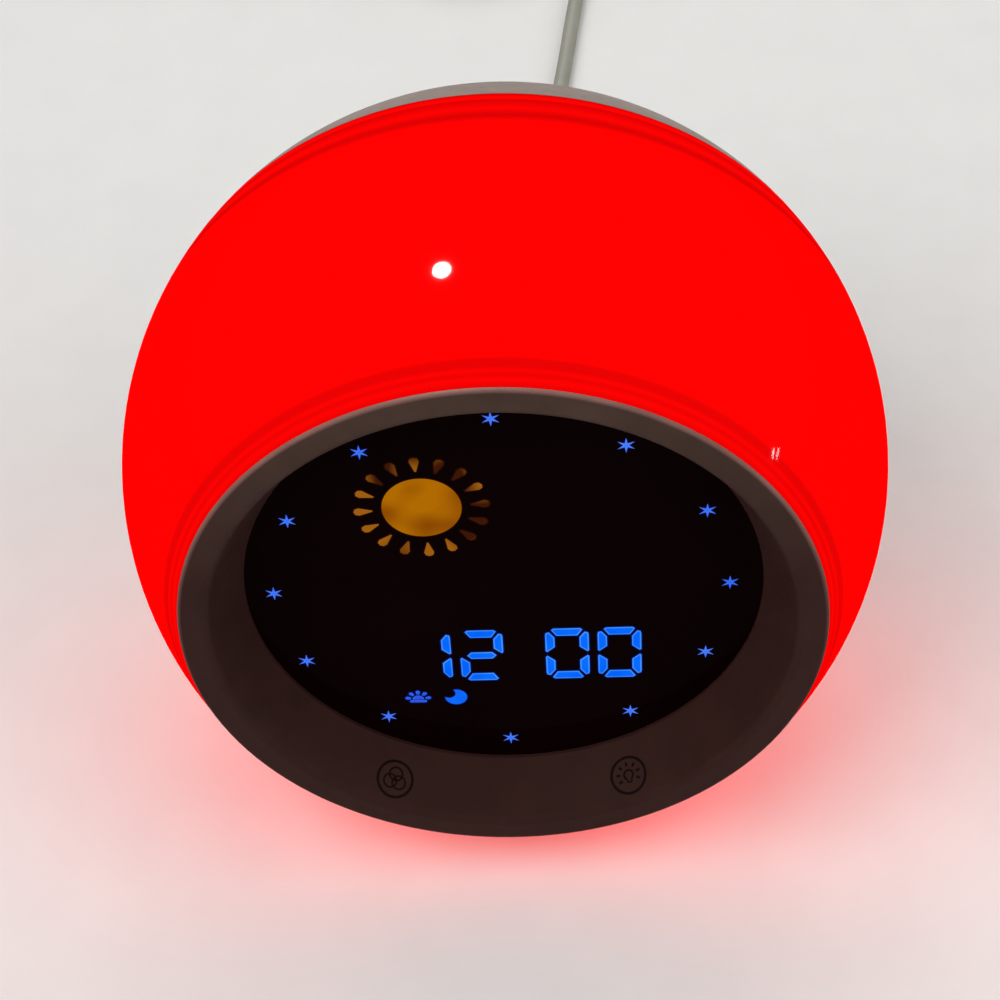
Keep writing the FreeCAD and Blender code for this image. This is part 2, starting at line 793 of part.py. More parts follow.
def rear_shell():
    """Rear cap of the ball with a flat back, a spigot into the lamp zone, screw wells and a sound grille."""
    spigot_inner = rear_spigot_outer - rear_spigot_wall
    inner_flat = ring_at(inner_radius, rear_inner_height)
    cap = revolved([
        (rear_spigot_outer, rear_seam_height),
        (ring_at(ball_radius, rear_seam_height), rear_seam_height),
        sphere_to(ball_radius, rear_seam_height, rear_flat_height + 0.75 * rear_flat_round),
        (rear_flat_radius - rear_flat_round, rear_flat_height),
        (0, rear_flat_height),
        (0, rear_inner_height),
        (inner_flat, rear_inner_height),
        sphere_to(inner_radius, rear_inner_height, -ring_at(inner_radius, spigot_inner)),
        (spigot_inner, bulkhead_back),
        (rear_spigot_outer, bulkhead_back),
    ])
    inside = Part.makeSphere(ball_radius - 0.5 * ball_wall)
    well_floor = bulkhead_back - rear_boss_floor
    adds, cuts = [], []
    for a in cup_screw_angles:
        place = around(rear_boss_circle, a)
        adds.append(cylinder(rear_boss_radius, rear_flat_height, bulkhead_back, *place).common(inside))
        cuts.append(cylinder(rear_head_radius + slip_gap, -ball_radius, well_floor, *place))
        cuts.append(cylinder(rear_screw_radius + slip_gap, well_floor - 1, bulkhead_back + 1, *place))
    rib = speaker_radius + slip_gap
    adds.append(tube(rib + speaker_rib, rib, rear_inner_height - 0.5, rear_inner_height + speaker_rib_height))
    for a in board_post_angles:
        place = around(board_post_circle, a)
        post = cylinder(board_post_radius, rear_flat_height, main_board_back, *place).common(inside)
        adds.append(post)
        cuts.append(cylinder(pilot_radius, main_board_back - 5, main_board_back + 1, *place))
    for a in button_angles:
        cuts.append(cylinder(button_radius + slip_gap, rear_flat_height - 1, rear_inner_height + 1,
                             *around(button_circle, a)))
    through = (rear_flat_height - 1, rear_inner_height + 1)
    cuts.append(cylinder(socket_radius + slip_gap, *through, 0, -socket_drop))
    for place in grille_places():
        cuts.append(cylinder(grille_hole_radius, *through, *place))
    shell = above(on_face(joined([cap] + adds).cut(Part.makeCompound(cuts))), base_cut)
    ring_top = plate_top + plate_ring_height + slip_gap
    return shell.cut(cylinder(plate_ring_outer + slip_gap, 0, ring_top))


def push_button(angle):
    """Domed cap with a flange behind the shell and a stem towards its switch."""
    flange_back = rear_inner_height + slip_gap
    flange_front = flange_back + button_flange_thickness
    tip = switch_front - button_travel - 0.1
    face = rear_flat_height - button_proud
    shape = revolved([
        (0, face - button_dome),
        (0.4 * button_radius, face - button_dome),
        (0.8 * button_radius, face - 0.5 * button_dome),
        (button_radius, face),
        (button_radius, flange_back),
        (button_radius + button_flange, flange_back),
        (button_radius + button_flange, flange_front),
        (stem_radius, flange_front),
        (stem_radius, tip),
        (0, tip),
    ])
    shape.translate(Vector(*around(button_circle, angle), 0))
    return shape


def tact_switches():
    shapes = []
    for a in button_angles:
        x, y = around(button_circle, a)
        body = block(switch_size, switch_size, main_board_back - switch_height, main_board_back, x, y)
        plunger = cylinder(plunger_radius, switch_front, main_board_back - switch_height + 0.5, x, y)
        shapes.append(body.fuse(plunger))
    return shapes


def main_board():
    """Ring-shaped board on three posts of the rear shell; the loudspeaker stands in its hole."""
    board = tube(main_board_radius, main_board_hole, main_board_back, main_board_front)
    holes = [
        cylinder(pilot_radius + slip_gap, main_board_back - 1, main_board_front + 1,
                 *around(board_post_circle, a))
        for a in board_post_angles
    ]
    notch = rear_boss_radius + slip_gap
    holes += [
        cylinder(notch, main_board_back - 1, main_board_front + 1, *around(rear_boss_circle, a))
        for a in cup_screw_angles
    ]
    return board.cut(joined(holes))


def board_screws():
    """Three screws that hold the main board on its posts."""
    shank = pilot_radius - snug_gap
    shapes = []
    for a in board_post_angles:
        shapes.append(screw(shank, screw_head_radius, main_board_front, board_thickness + 4,
                            *around(board_post_circle, a), -1))
    return shapes


def board_chips():
    """Controller, sound chip, crystal and two capacitors on the main board."""
    shapes = []
    for (width, depth, height), angle in ((chip_size, 15), (sound_chip_size, 340), (crystal_size, 110)):
        x, y = around(board_middle, angle)
        shapes.append(block(width, depth, main_board_front, main_board_front + height, x, y))
    for angle in capacitor_angles:
        top = main_board_front + capacitor_height
        shapes.append(cylinder(capacitor_radius, main_board_front, top, *around(board_middle, angle)))
    return shapes


def coin_cell():
    bottom = main_board_front + holder_floor
    return cylinder(cell_radius, bottom, bottom + cell_thickness, *around(board_middle, cell_angle))


def coin_cell_holder():
    """Open cup on the board round the backup cell."""
    inner = cell_radius + slip_gap
    top = main_board_front + holder_floor + cell_thickness - 0.6
    cup = cylinder(inner + holder_wall, main_board_front, top, *around(board_middle, cell_angle))
    return cup.cut(cylinder(inner, main_board_front + holder_floor, top + 1, *around(board_middle, cell_angle)))


def speaker_frame():
    """Pressed basket that tapers from the flange to the magnet."""
    back = rear_inner_height
    neck = back + speaker_depth - magnet_height
    opening = speaker_radius - speaker_flange
    return revolved([
        (speaker_radius, back),
        (speaker_radius, back + speaker_rim),
        (opening + basket_wall, back + speaker_rim),
        (magnet_radius, neck),
        (0.4 * magnet_radius, neck),
        (0.4 * magnet_radius, neck - basket_wall),
        (magnet_radius - basket_wall, neck - basket_wall),
        (opening, back + speaker_rim),
        (opening, back),
    ])


def speaker_magnet():
    neck = rear_inner_height + speaker_depth - magnet_height
    return cylinder(magnet_radius, neck, neck + magnet_height)


def speaker_cone():
    """Paper cone with a dust cap, held inside the basket's flange."""
    rim = speaker_radius - speaker_flange - snug_gap
    surround = rim - cone_rim_width
    back = rear_inner_height + slip_gap
    cap = dust_cap_radius
    return revolved([
        (rim, back + cone_wall),
        (surround, back + cone_wall),
        (cap, back + cone_depth),
        (0.5 * cap, back + cone_depth - 2 * cone_wall),
        (0, back + cone_depth - 2 * cone_wall),
        (0, back + cone_depth - 3 * cone_wall),
        (0.5 * cap, back + cone_depth - 3 * cone_wall),
        (cap, back + cone_depth - cone_wall),
        (surround, back),
        (rim, back),
    ])


def power_socket():
    """Round jack on the main board, its mouth flush with the back of the ball."""
    body = block(9, 9, main_board_back - 4, main_board_back, 0, -socket_drop)
    nose = cylinder(socket_radius, socket_mouth, main_board_back - 3, 0, -socket_drop)
    bore = cylinder(plug_bore, socket_mouth - 1, main_board_back - 0.6, 0, -socket_drop)
    pin = cylinder(socket_pin, socket_mouth + 1.5, main_board_back, 0, -socket_drop)
    return body.fuse(nose).cut(bore).fuse(pin)


def rear_screws():
    """Four long screws from the wells in the rear shell into the bulkhead's towers."""
    seat = bulkhead_back - rear_boss_floor
    reach = rear_boss_floor + rear_screw_reach
    return [
        screw(rear_screw_radius, rear_head_radius, seat, reach, *around(rear_boss_circle, a))
        for a in cup_screw_angles
    ]


def base_plate():
    """Round plate that closes the ball below, with a locating ring and a groove for the foot."""
    rim_top = ring_at(ball_radius, plate_top - centre_height)
    ring_inner = plate_ring_outer - plate_ring_wall
    plate = revolved([
        (0, plate_low),
        (foot_inner - slip_gap, plate_low),
        (foot_inner - slip_gap, plate_low + foot_seat),
        (foot_outer + slip_gap, plate_low + foot_seat),
        (foot_outer + slip_gap, plate_low),
        (plate_rim_radius, plate_low),
        (rim_top, plate_top),
        (plate_ring_outer, plate_top),
        (plate_ring_outer, plate_top + plate_ring_height),
        (ring_inner, plate_top + plate_ring_height),
        (ring_inner, plate_top),
        (0, plate_top),
    ])
    holes = []
    seat = plate_low + screw_head_height
    for place in base_screw_places():
        holes.append(cylinder(screw_head_radius + slip_gap, plate_low - 1, seat, *place))
        holes.append(cylinder(pilot_radius + slip_gap, plate_low, plate_top + 1, *place))
    return plate.cut(joined(holes))


def base_screw_places():
    """Screw places under the bulkhead, which leans back and so stands behind the middle of the base."""
    middle = bulkhead_height - bulkhead_thickness / 2
    level = plate_top + base_foot_height / 2 - centre_height
    behind = (level * math.sin(lean) - middle) / math.cos(lean)
    return [(side * base_screw_spread, behind) for side in (-1, 1)]


def base_screws():
    shank = pilot_radius - snug_gap
    seat = plate_low + screw_head_height
    reach = plate_rim - screw_head_height + base_screw_length - 1
    return [screw(shank, screw_head_radius, seat, reach, *place) for place in base_screw_places()]


def foot_ring():
    """Soft ring that the clock stands on."""
    top = plate_low + foot_seat
    return revolved([
        (foot_inner, foot_round),
        (foot_inner + foot_round, 0),
        (foot_outer - foot_round, 0),
        (foot_outer, foot_round),
        (foot_outer, top),
        (foot_inner, top),
    ])


def ribbon_cable():
    """Flat cable from the main board, through the post, to the display board."""
    half = ribbon_thickness / 2
    outer, inner = ribbon_bend + half, ribbon_bend - half
    diagonal = math.sqrt(0.5)
    start = main_board_front + connector_height
    end = display_board_back - connector_height
    turn_a = (ribbon_start - ribbon_bend, ribbon_level - ribbon_bend)
    turn_b = (ribbon_bend, ribbon_level + ribbon_bend)
    strip = Part.Face(outline_wire([
        (ribbon_start + half, start),
        (ribbon_start + half, turn_a[1]),
        (turn_a[0], ribbon_level + half, turn_a[0] + outer * diagonal, turn_a[1] + outer * diagonal),
        (turn_b[0], ribbon_level + half),
        (half, turn_b[1], turn_b[0] - inner * diagonal, turn_b[1] - inner * diagonal),
        (half, end),
        (-half, end),
        (-half, turn_b[1]),
        (turn_b[0], ribbon_level - half, turn_b[0] - outer * diagonal, turn_b[1] - outer * diagonal),
        (turn_a[0], ribbon_level - half),
        (ribbon_start - half, turn_a[1], turn_a[0] + inner * diagonal, turn_a[1] + inner * diagonal),
        (ribbon_start - half, start),
    ])).extrude(Vector(0, ribbon_width, 0))
    strip.translate(Vector(0, -ribbon_width / 2, 0))
    strip.rotate(Vector(), Vector(0, 0, 1), 90)
    return strip


def ribbon_connectors():
    low = main_board_front
    high = display_board_back
    return [
        block(ribbon_width + 2, 5, low, low + connector_height, 0, ribbon_start),
        block(ribbon_width + 2, 5, high - connector_height, high, 0, 0),
    ]


def barrel_tip():
    """Metal sleeve of the supply plug, inside the socket."""
    return tube(plug_tip_radius, plug_tip_bore, socket_mouth, socket_mouth + plug_tip_length, 0, -socket_drop)


def supply_plug():
    """Moulded grip of the supply plug, which ends in a ringed strain relief."""
    end = socket_mouth - boot_length - relief_length
    outline = [
        (0, socket_mouth),
        (boot_radius - 0.5, socket_mouth),
        (boot_radius, socket_mouth - 0.5),
        (boot_radius, end + relief_length + 1),
        (relief_radius, end + relief_length),
    ]
    step = relief_length / relief_rings
    thin = cord_diameter / 2 + 0.3
    for k in range(relief_rings):
        edge = relief_radius - 0.2 * k
        start = end + relief_length - k * step
        outline += [(edge, start - 0.7 * step), (thin, start - 0.7 * step), (thin, start - step)]
        if k < relief_rings - 1:
            outline.append((edge - 0.2, start - step))
    outline.append((0, end))
    plug = revolved(outline)
    plug.translate(Vector(0, -socket_drop, 0))
    return plug


def rounded_route(points, label):
    """Path of straight runs and tangent arcs, each arc as large as its two runs allow."""
    corners = [Vector(*p) for p in points]
    edges, radii = [], []
    last = corners[0]
    for before, corner, after in zip(corners, corners[1:], corners[2:]):
        back, ahead = before - corner, after - corner
        share = 0.45 * min(back.Length, ahead.Length)
        back.normalize()
        ahead.normalize()
        half_turn = (math.pi - back.getAngle(ahead)) / 2
        radius = share / math.tan(half_turn)
        radii.append(round(radius, 1))
        start, end = corner + back * share, corner + ahead * share
        inward = (back + ahead).normalize()
        middle = corner + inward * (radius / math.cos(half_turn) - radius)
        edges.append(Part.LineSegment(last, start).toShape())
        edges.append(Part.Arc(start, middle, end).toShape())
        last = end
    edges.append(Part.LineSegment(last, corners[-1]).toShape())
    path = Part.Wire(edges)
    print(label, "radii", radii, "length", round(path.Length, 1))
    return path


def free_cord(points, label):
    """Round cord along a route; its volume is compared with its section times its length."""
    path = rounded_route(points, label)
    start, heading = Vector(*points[0]), Vector(*points[1]) - Vector(*points[0])
    section = Part.Wire(Part.makeCircle(cord_diameter / 2, start, heading))
    solid = path.makePipeShell([section], True, False)
    expected = math.pi * cord_diameter ** 2 / 4 * path.Length
    print(label, "volume over section times length", round(solid.Volume / expected, 4))
    return solid


def coil_point(turns):
    """Middle of the coiled cord after a number of turns, counted from where it enters."""
    reverse = coil_climb_start + coil_climb_turns / 2
    radius = coil_outer_radius - coil_pitch * (reverse - abs(turns - reverse))
    climbed = min(1.0, max(0.0, (turns - coil_climb_start) / coil_climb_turns))
    rise = coil_pitch * (1 - math.cos(math.pi * climbed)) / 2
    angle = 2 * math.pi * turns
    return Vector(
        coil_centre[0] + radius * math.cos(angle), coil_centre[1] + radius * math.sin(angle), coil_level + rise
    )


def arc_from(start, control, end):
    """Arc between two points, tangent to the two lines that meet at the control point."""
    middle = (start + end) * 0.5
    chord = end - start
    bulge = control - middle
    lean = chord.getAngle(control - start)
    bulge.normalize()
    return Part.Arc(start, middle + bulge * (chord.Length / 2 * math.tan(lean / 2)), end).toShape()


def biarc(start, start_way, end, end_way):
    """Two arcs that join two points with given directions."""
    span, ways = end - start, start_way + end_way
    spread = 2 * (1 - start_way.dot(end_way))
    along = span.dot(ways)
    reach = (math.sqrt(along ** 2 + spread * span.dot(span)) - along) / spread
    first, second = start + start_way * reach, end - end_way * reach
    join = (first + second) * 0.5
    return [arc_from(start, first, join), arc_from(join, second, end)]


def cord_coil():
    """The loops as one tube on quarter-turn biarcs, with a straight end at each side."""
    count = round(4 * coil_turns)
    points = [coil_point(k / 4) for k in range(count + 1)]
    ways = [(coil_point((k + 0.2) / 4) - coil_point((k - 0.2) / 4)).normalize() for k in range(count + 1)]
    ways[0] = Vector(0, 1, 0)
    ways[-1] = Vector(-1, 0, 0)
    entry, leave = points[0] - ways[0] * cord_diameter, points[-1] + ways[-1] * cord_diameter
    edges = [Part.LineSegment(entry, points[0]).toShape()]
    for k in range(count):
        edges += biarc(points[k], ways[k], points[k + 1], ways[k + 1])
    edges.append(Part.LineSegment(points[-1], leave).toShape())
    path = Part.Wire(edges)
    radius = cord_diameter / 2
    corners = [around(radius, 360 / coil_sides * (k + 0.5)) for k in range(coil_sides)]
    ring = [Vector(entry.x + dx, entry.y, entry.z + dz) for dx, dz in corners]
    section = Part.makePolygon(ring + ring[:1])
    solid = path.makePipeShell([section], True, False)
    area = coil_sides / 2 * radius ** 2 * math.sin(2 * math.pi / coil_sides)
    print("coil length", round(path.Length, 1), "least gap", round(least_gap(path), 3))
    print("coil volume over section times length", round(solid.Volume / (area * path.Length), 4))
    print("coil ends", entry, leave)
    return solid


def least_gap(path):
    """Smallest clear distance between the coil's turns, measured on points of its path."""
    step = 0.6
    points = path.discretize(Distance=step)
    apart = round(4 * cord_diameter / step)
    nearest = min(
        (a - b).Length for k, a in enumerate(points) for b in points[k + apart:]
    )
    return nearest - cord_diameter


def cord_tie():
    """Flat band round the coil's bundle, on the side away from where the cord comes in."""
    reverse = coil_climb_start + coil_climb_turns / 2
    half = cord_diameter / 2
    inner = coil_outer_radius - coil_pitch * reverse + coil_pitch * coil_climb_turns / 2 - half - tie_slack
    outer = coil_outer_radius - coil_pitch / 2 + half + tie_slack
    low = coil_level - half - 0.2
    high = coil_level + coil_pitch + half + 0.2
    box = Part.makeBox(outer - inner + 2 * tie_wall, tie_width, high - low + 2 * tie_wall)
    hole = Part.makeBox(outer - inner, tie_width + 2, high - low, Vector(tie_wall, -1, tie_wall))
    band = box.cut(hole)
    band.translate(Vector(coil_centre[0] - outer - tie_wall, coil_centre[1] - tie_width / 2, low - tie_wall))
    return band


def box_along(start, length, width, low, high, y):
    """Box that runs towards -X from a place, with its underside and top at two levels."""
    return Part.makeBox(length, width, high - low, Vector(start - length, y - width / 2, low))


def usb_plug():
    """Grip with its relief, metal shell and contact tongue; the plug lies on the table and points to -X."""
    x, y, z = tail_route[-1]
    neck = cord_diameter / 2 + 0.7
    relief = Part.makeCone(neck, 0.45 * grip_height, grip_relief, Vector(x, y, z), Vector(-1, 0, 0))
    grip = box_along(x - grip_relief, grip_length, grip_width, z - grip_height / 2, z + grip_height / 2, y)
    grip = grip.makeFillet(grip_round, [e for e in grip.Edges if abs(e.tangentAt(0).x) > 0.9])
    face = x - grip_relief - grip_length
    low, high = z - usb_height / 2, z + usb_height / 2
    outer = box_along(face, usb_length, usb_width, low, high, y)
    hollow_width = usb_width - 2 * usb_wall
    hollow = box_along(face + 1, usb_length + 2, hollow_width, low + usb_wall, high - usb_wall, y)
    tongue_top = high - usb_wall - snug_gap
    tongue = box_along(
        face, usb_length - 1, hollow_width - 2 * snug_gap, tongue_top - usb_tongue_height, tongue_top, y
    )
    return {"usb_grip": grip.fuse(relief).removeSplitter(), "usb_shell": outer.cut(hollow), "usb_tongue": tongue}


def main():
    os.makedirs("parts", exist_ok=True)
    save("front_bezel", on_face(front_bezel()))
    save("display_lens", on_face(display_lens()))
    save("display_mask", on_face(display_mask()))
    save("light_block", on_face(light_block()))
    for name, shapes in light_inserts().items():
        save(name, on_face(Part.makeCompound(shapes)))
    save("display_board", on_face(display_board()))
    save("display_leds", on_face(Part.makeCompound(display_leds())))
    save("reflector_cup", on_face(reflector_cup()))
    save("display_screws", on_face(Part.makeCompound(display_screws())))
    save("touch_pads", on_face(Part.makeCompound(touch_pads())))
    save("diffuser_shell", diffuser_shell())
    save("core_frame", core_frame())
    save("lamp_board", on_face(lamp_board()))
    save("lamp_leds", on_face(Part.makeCompound(lamp_leds())))
    save("rear_shell", rear_shell())
    for name, angle in zip(button_names, button_angles):
        save(name, on_face(push_button(angle)))
    save("tact_switches", on_face(Part.makeCompound(tact_switches())))
    save("main_board", on_face(main_board()))
    save("board_screws", on_face(Part.makeCompound(board_screws())))
    save("board_chips", on_face(Part.makeCompound(board_chips())))
    save("coin_cell", on_face(coin_cell()))
    save("coin_cell_holder", on_face(coin_cell_holder()))
    save("speaker_frame", on_face(speaker_frame()))
    save("speaker_magnet", on_face(speaker_magnet()))
    save("speaker_cone", on_face(speaker_cone()))
    save("power_socket", on_face(power_socket()))
    save("rear_screws", on_face(Part.makeCompound(rear_screws())))
    save("base_plate", base_plate())
    save("foot_ring", foot_ring())
    save("base_screws", Part.makeCompound(base_screws()))
    save("ribbon_cable", on_face(ribbon_cable()))
    save("ribbon_connectors", on_face(Part.makeCompound(ribbon_connectors())))
    save("barrel_tip", on_face(barrel_tip()))
    save("supply_plug", on_face(supply_plug()))
    save("cord_run", free_cord(cord_route, "cord_run"))
    save("cord_coil", cord_coil())
    save("cord_tie", cord_tie())
    save("cord_tail", free_cord(tail_route, "cord_tail"))
    for name, shape in usb_plug().items():
        save(name, shape)


main()
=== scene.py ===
import math

import bmesh
import bpy
from mathutils import Matrix, Vector


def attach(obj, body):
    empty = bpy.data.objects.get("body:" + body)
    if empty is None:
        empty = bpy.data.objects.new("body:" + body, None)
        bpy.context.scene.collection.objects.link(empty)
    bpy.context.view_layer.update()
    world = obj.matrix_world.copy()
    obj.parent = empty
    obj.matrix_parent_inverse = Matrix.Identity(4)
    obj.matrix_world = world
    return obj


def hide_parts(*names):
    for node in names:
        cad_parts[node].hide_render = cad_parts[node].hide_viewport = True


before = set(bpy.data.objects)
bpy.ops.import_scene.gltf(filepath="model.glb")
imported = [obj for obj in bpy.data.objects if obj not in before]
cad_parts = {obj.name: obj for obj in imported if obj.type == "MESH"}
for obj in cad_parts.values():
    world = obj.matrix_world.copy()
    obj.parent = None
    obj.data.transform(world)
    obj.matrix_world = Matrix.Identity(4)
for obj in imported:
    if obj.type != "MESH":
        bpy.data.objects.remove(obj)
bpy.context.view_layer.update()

# Sizes are written in millimetres, as on a drawing, and turned into metres where a thing is made.
MM = 0.001

# Stance of the clock: its face leans back by this much, and its ball's centre is this high
FACE_TILT = math.radians(8)
BALL_CENTRE = Vector((0, 0, 67))

# Camera of the photograph
CAMERA_PLACE = Vector((18.52, -322.05, 467.57))
CAMERA_AHEAD = Vector((-0.03826, 0.61574, -0.78702))
CAMERA_UP = Vector((0.02611, 0.78794, 0.61520))
FOCAL_LENGTH = 93.6

# Dish of the bezel, heights from the ball's centre along the face axis
WINDOW_RADIUS = 48.9
WINDOW_EDGE = 33.95
DISH_RADIUS = 54.2
DISH_EDGE = 44.34
LIP_HEIGHT = 45.6

# Light that shows on the window's face, as thin plates: heights above it, and how far they reach
WINDOW_FRONT = 33.2
PLATE_SINK = 0.05
GLOW_RISE = 0.02
PLATE_RISE = 0.06
GLOW_WIDTH = 0.25
# Keeps the glow round a sharp corner from running far out
MITRE_LIMIT = 0.4
DIGIT_HEIGHT = 14.4
DIGIT_WIDTH = 8.6
DIGIT_CENTRES = (-15.15, -5.05, 11.55, 21.65)
DIGIT_LINE = -19.15
DIGIT_GAP = 0.2
DIGIT_RIM = 0.26
DIGITS_SHOWN = "1200"
SEGMENTS_LIT = {"0": "adbcfe", "1": "bc", "2": "agdbe"}
STAR_RING_CENTRE = (-0.45, -0.5)
STAR_RING = 43.1
STAR_ANGLES = (0.0, 33.8, 63.8, 90.0, 116.2, 146.2, 180.0, 213.8, 243.8, 270.0, 296.2, 326.2)
STAR_REACH = 1.75
STAR_WAIST = 0.5
SUN_CENTRE = (-14.1, 21.1)
SUN_RADIUS = 7.35
SUN_RAYS = 16
SUN_RAY_START = 9.1
SUN_RAY_END = 12.6
SUN_RAY_WIDTH = 1.85
SUN_RAY_TURN = 3.3
MOON_CENTRE = (-10.7, -31.0)
MOON_RADIUS = 2.15
MOON_BITE = 1.3
SUNRISE_CENTRE = (-18.2, -31.5)

# Touch marks printed on the dish
MARK_ANGLES = (243.1, 295.9)
MARK_CLIMB = 7.6
MARK_RADIUS = 3.65
MARK_LINE = 0.56
MARK_LIFT = 0.04

# The lamp's shell, which glows more strongly than the screen can show, under a thin mirror film
SHELL_GLOW = 1.6
SHELL_FILM = 0.0015
# Shadow rings of the parts behind its two edges, in runs that touch. Of each ring: where along the
# face axis it starts, is dark from, is dark to and ends, and the share of full red left in the dark
SHADOW_RUNS = (
    ((-30.0, -28.0, -27.0, -24.7, 0.58),),
    ((-23.5, -23.2, -22.2, -18.4, 0.73), (-18.4, -15.8, -15.0, -13.0, 0.7)),
    ((40.2, 40.6, 41.8, 42.2, 0.79), (42.2, 42.8, 43.0, 43.6, 0.81), (43.6, 44.3, 46.0, 47.0, 0.82)),
)
# Width over which the light beside a run rises to its full strength
SHADOW_EDGE = 0.5

# The window's mirror film: its share seen straight on, and how much more of it shows at a low angle
WINDOW_FILM = 0.001
WINDOW_SHEEN = 0.15

# Lead behind the clock, the same route as in the CAD model
CORD_DIAMETER = 4.0
CORD_ROUTE = (
    (0.0, 90.57, 26.0),
    (0.0, 110.38, 23.22),
    (2.0, 129.8, 16.3),
    (5.4, 148.0, 7.6),
    (9.4, 165.5, 2.0),
    (12.6, 187.0, 2.0),
    (15.4, 209.6, 2.0),
    (18.75, 228.5, 3.0),
    (18.75, 246.0, 3.0),
)
TAIL_ROUTE = (
    (-16.0, 279.625, 7.5),
    (-29.0, 279.625, 7.5),
    (-42.0, 281.8, 5.4),
    (-54.5, 282.6, 4.0),
    (-66.0, 282.6, 4.0),
)
COIL_CENTRE = Vector((-12.0, 250.0))
COIL_LEVEL = 3.0
COIL_RADIUS = 30.75
COIL_PITCH = 4.5
COIL_TURNS = 6.25
COIL_CLIMB_START = 3.0
COIL_CLIMB_TURNS = 0.5
COIL_POINTS_A_TURN = 16

# Strength of the sky as a light; the camera and mirrors see it at 1
SKY_LIGHT = 0.5
# Where the floor starts to run into the background, and where it has
FADE_START = 450.0
FADE_END = 1300.0


def colour(red, green, blue):
    """Linear colour, as the shaders take it, of a screen colour from 0 to 255."""
    def linear(value):
        value /= 255
        return value / 12.92 if value <= 0.04045 else ((value + 0.055) / 1.055) ** 2.4
    return linear(red), linear(green), linear(blue), 1.0


def face_place(x, y, z):
    """Place in the scene of a point given about the face axis: right, up the face, out of the face."""
    turned = Matrix.Rotation(math.pi / 2 - FACE_TILT, 3, "X") @ Vector((x, y, z))
    return (turned + BALL_CENTRE) * MM


def face_direction(x, y, z):
    return Matrix.Rotation(math.pi / 2 - FACE_TILT, 3, "X") @ Vector((x, y, z))


BACKGROUND = colour(234, 234, 233)
# Soft square lamps: name, place, what they point at, width, and power in watts
LAMPS = (
    ("key", (-500, -350, 900), (0, 0, 60), 700, 5.0),
    ("fill", (650, -250, 700), (0, 0, 60), 700, 2.5),
    ("back", (100, 700, 700), (0, 60, 60), 600, 2.0),
)
# Lamps that only mirrors see: name, spot on the ball about the face axis, width, height, slant, power
HIGHLIGHTS = (
    ("highlight", (-7.6, 70.2, 25.2), 74, 84, -30, 30.0),
    ("left_glint", (49.15, 39.35, 40.75), 10, 46, -74, 0.6),
    ("right_glint", (50.0, 38.85, 40.25), 10, 46, -74, 0.5),
)
HIGHLIGHT_DISTANCE = 900.0


# Camera

def add_camera():
    data = bpy.data.cameras.new("camera")
    data.lens = FOCAL_LENGTH
    data.sensor_width = 36
    data.clip_start = 0.01
    camera = bpy.data.objects.new("camera", data)
    back = -CAMERA_AHEAD.normalized()
    right = CAMERA_UP.cross(back).normalized()
    up = back.cross(right)
    turn = Matrix((right, up, back)).transposed().to_4x4()
    camera.matrix_world = Matrix.Translation(CAMERA_PLACE * MM) @ turn
    bpy.context.scene.collection.objects.link(camera)
    bpy.context.scene.camera = camera


# Cord

def coil_point(turns):
    """Middle of the coiled cord after a number of turns, as in the CAD model."""
    reverse = COIL_CLIMB_START + COIL_CLIMB_TURNS / 2
    radius = COIL_RADIUS - COIL_PITCH * (reverse - abs(turns - reverse))
    climbed = min(1.0, max(0.0, (turns - COIL_CLIMB_START) / COIL_CLIMB_TURNS))
    rise = COIL_PITCH * (1 - math.cos(math.pi * climbed)) / 2
    angle = 2 * math.pi * turns
    x = COIL_CENTRE.x + radius * math.cos(angle)
    y = COIL_CENTRE.y + radius * math.sin(angle)
    return x, y, COIL_LEVEL + rise


def cord_points():
    steps = round(COIL_TURNS * COIL_POINTS_A_TURN)
    coil = [coil_point(k / COIL_POINTS_A_TURN) for k in range(steps + 1)]
    return [*CORD_ROUTE, *coil, *TAIL_ROUTE]


def add_cord(material):
    """The whole lead as one smooth spline, from the moulded plug through the coil to the USB plug."""
    points = cord_points()
    data = bpy.data.curves.new("cord", "CURVE")
    data.dimensions = "3D"
    data.bevel_depth = CORD_DIAMETER / 2 * MM
    data.bevel_resolution = 5
    data.resolution_u = 6
    data.use_fill_caps = True
    spline = data.splines.new("NURBS")
    spline.points.add(len(points) - 1)
    for control, place in zip(spline.points, points):
        control.co = (*(Vector(place) * MM), 1)
    spline.order_u = 3
    spline.use_endpoint_u = True
    cord = bpy.data.objects.new("cord", data)
    data.materials.append(material)
    bpy.context.scene.collection.objects.link(cord)
    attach(cord, "clock")
    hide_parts("cord_run", "cord_coil", "cord_tail")


# Materials

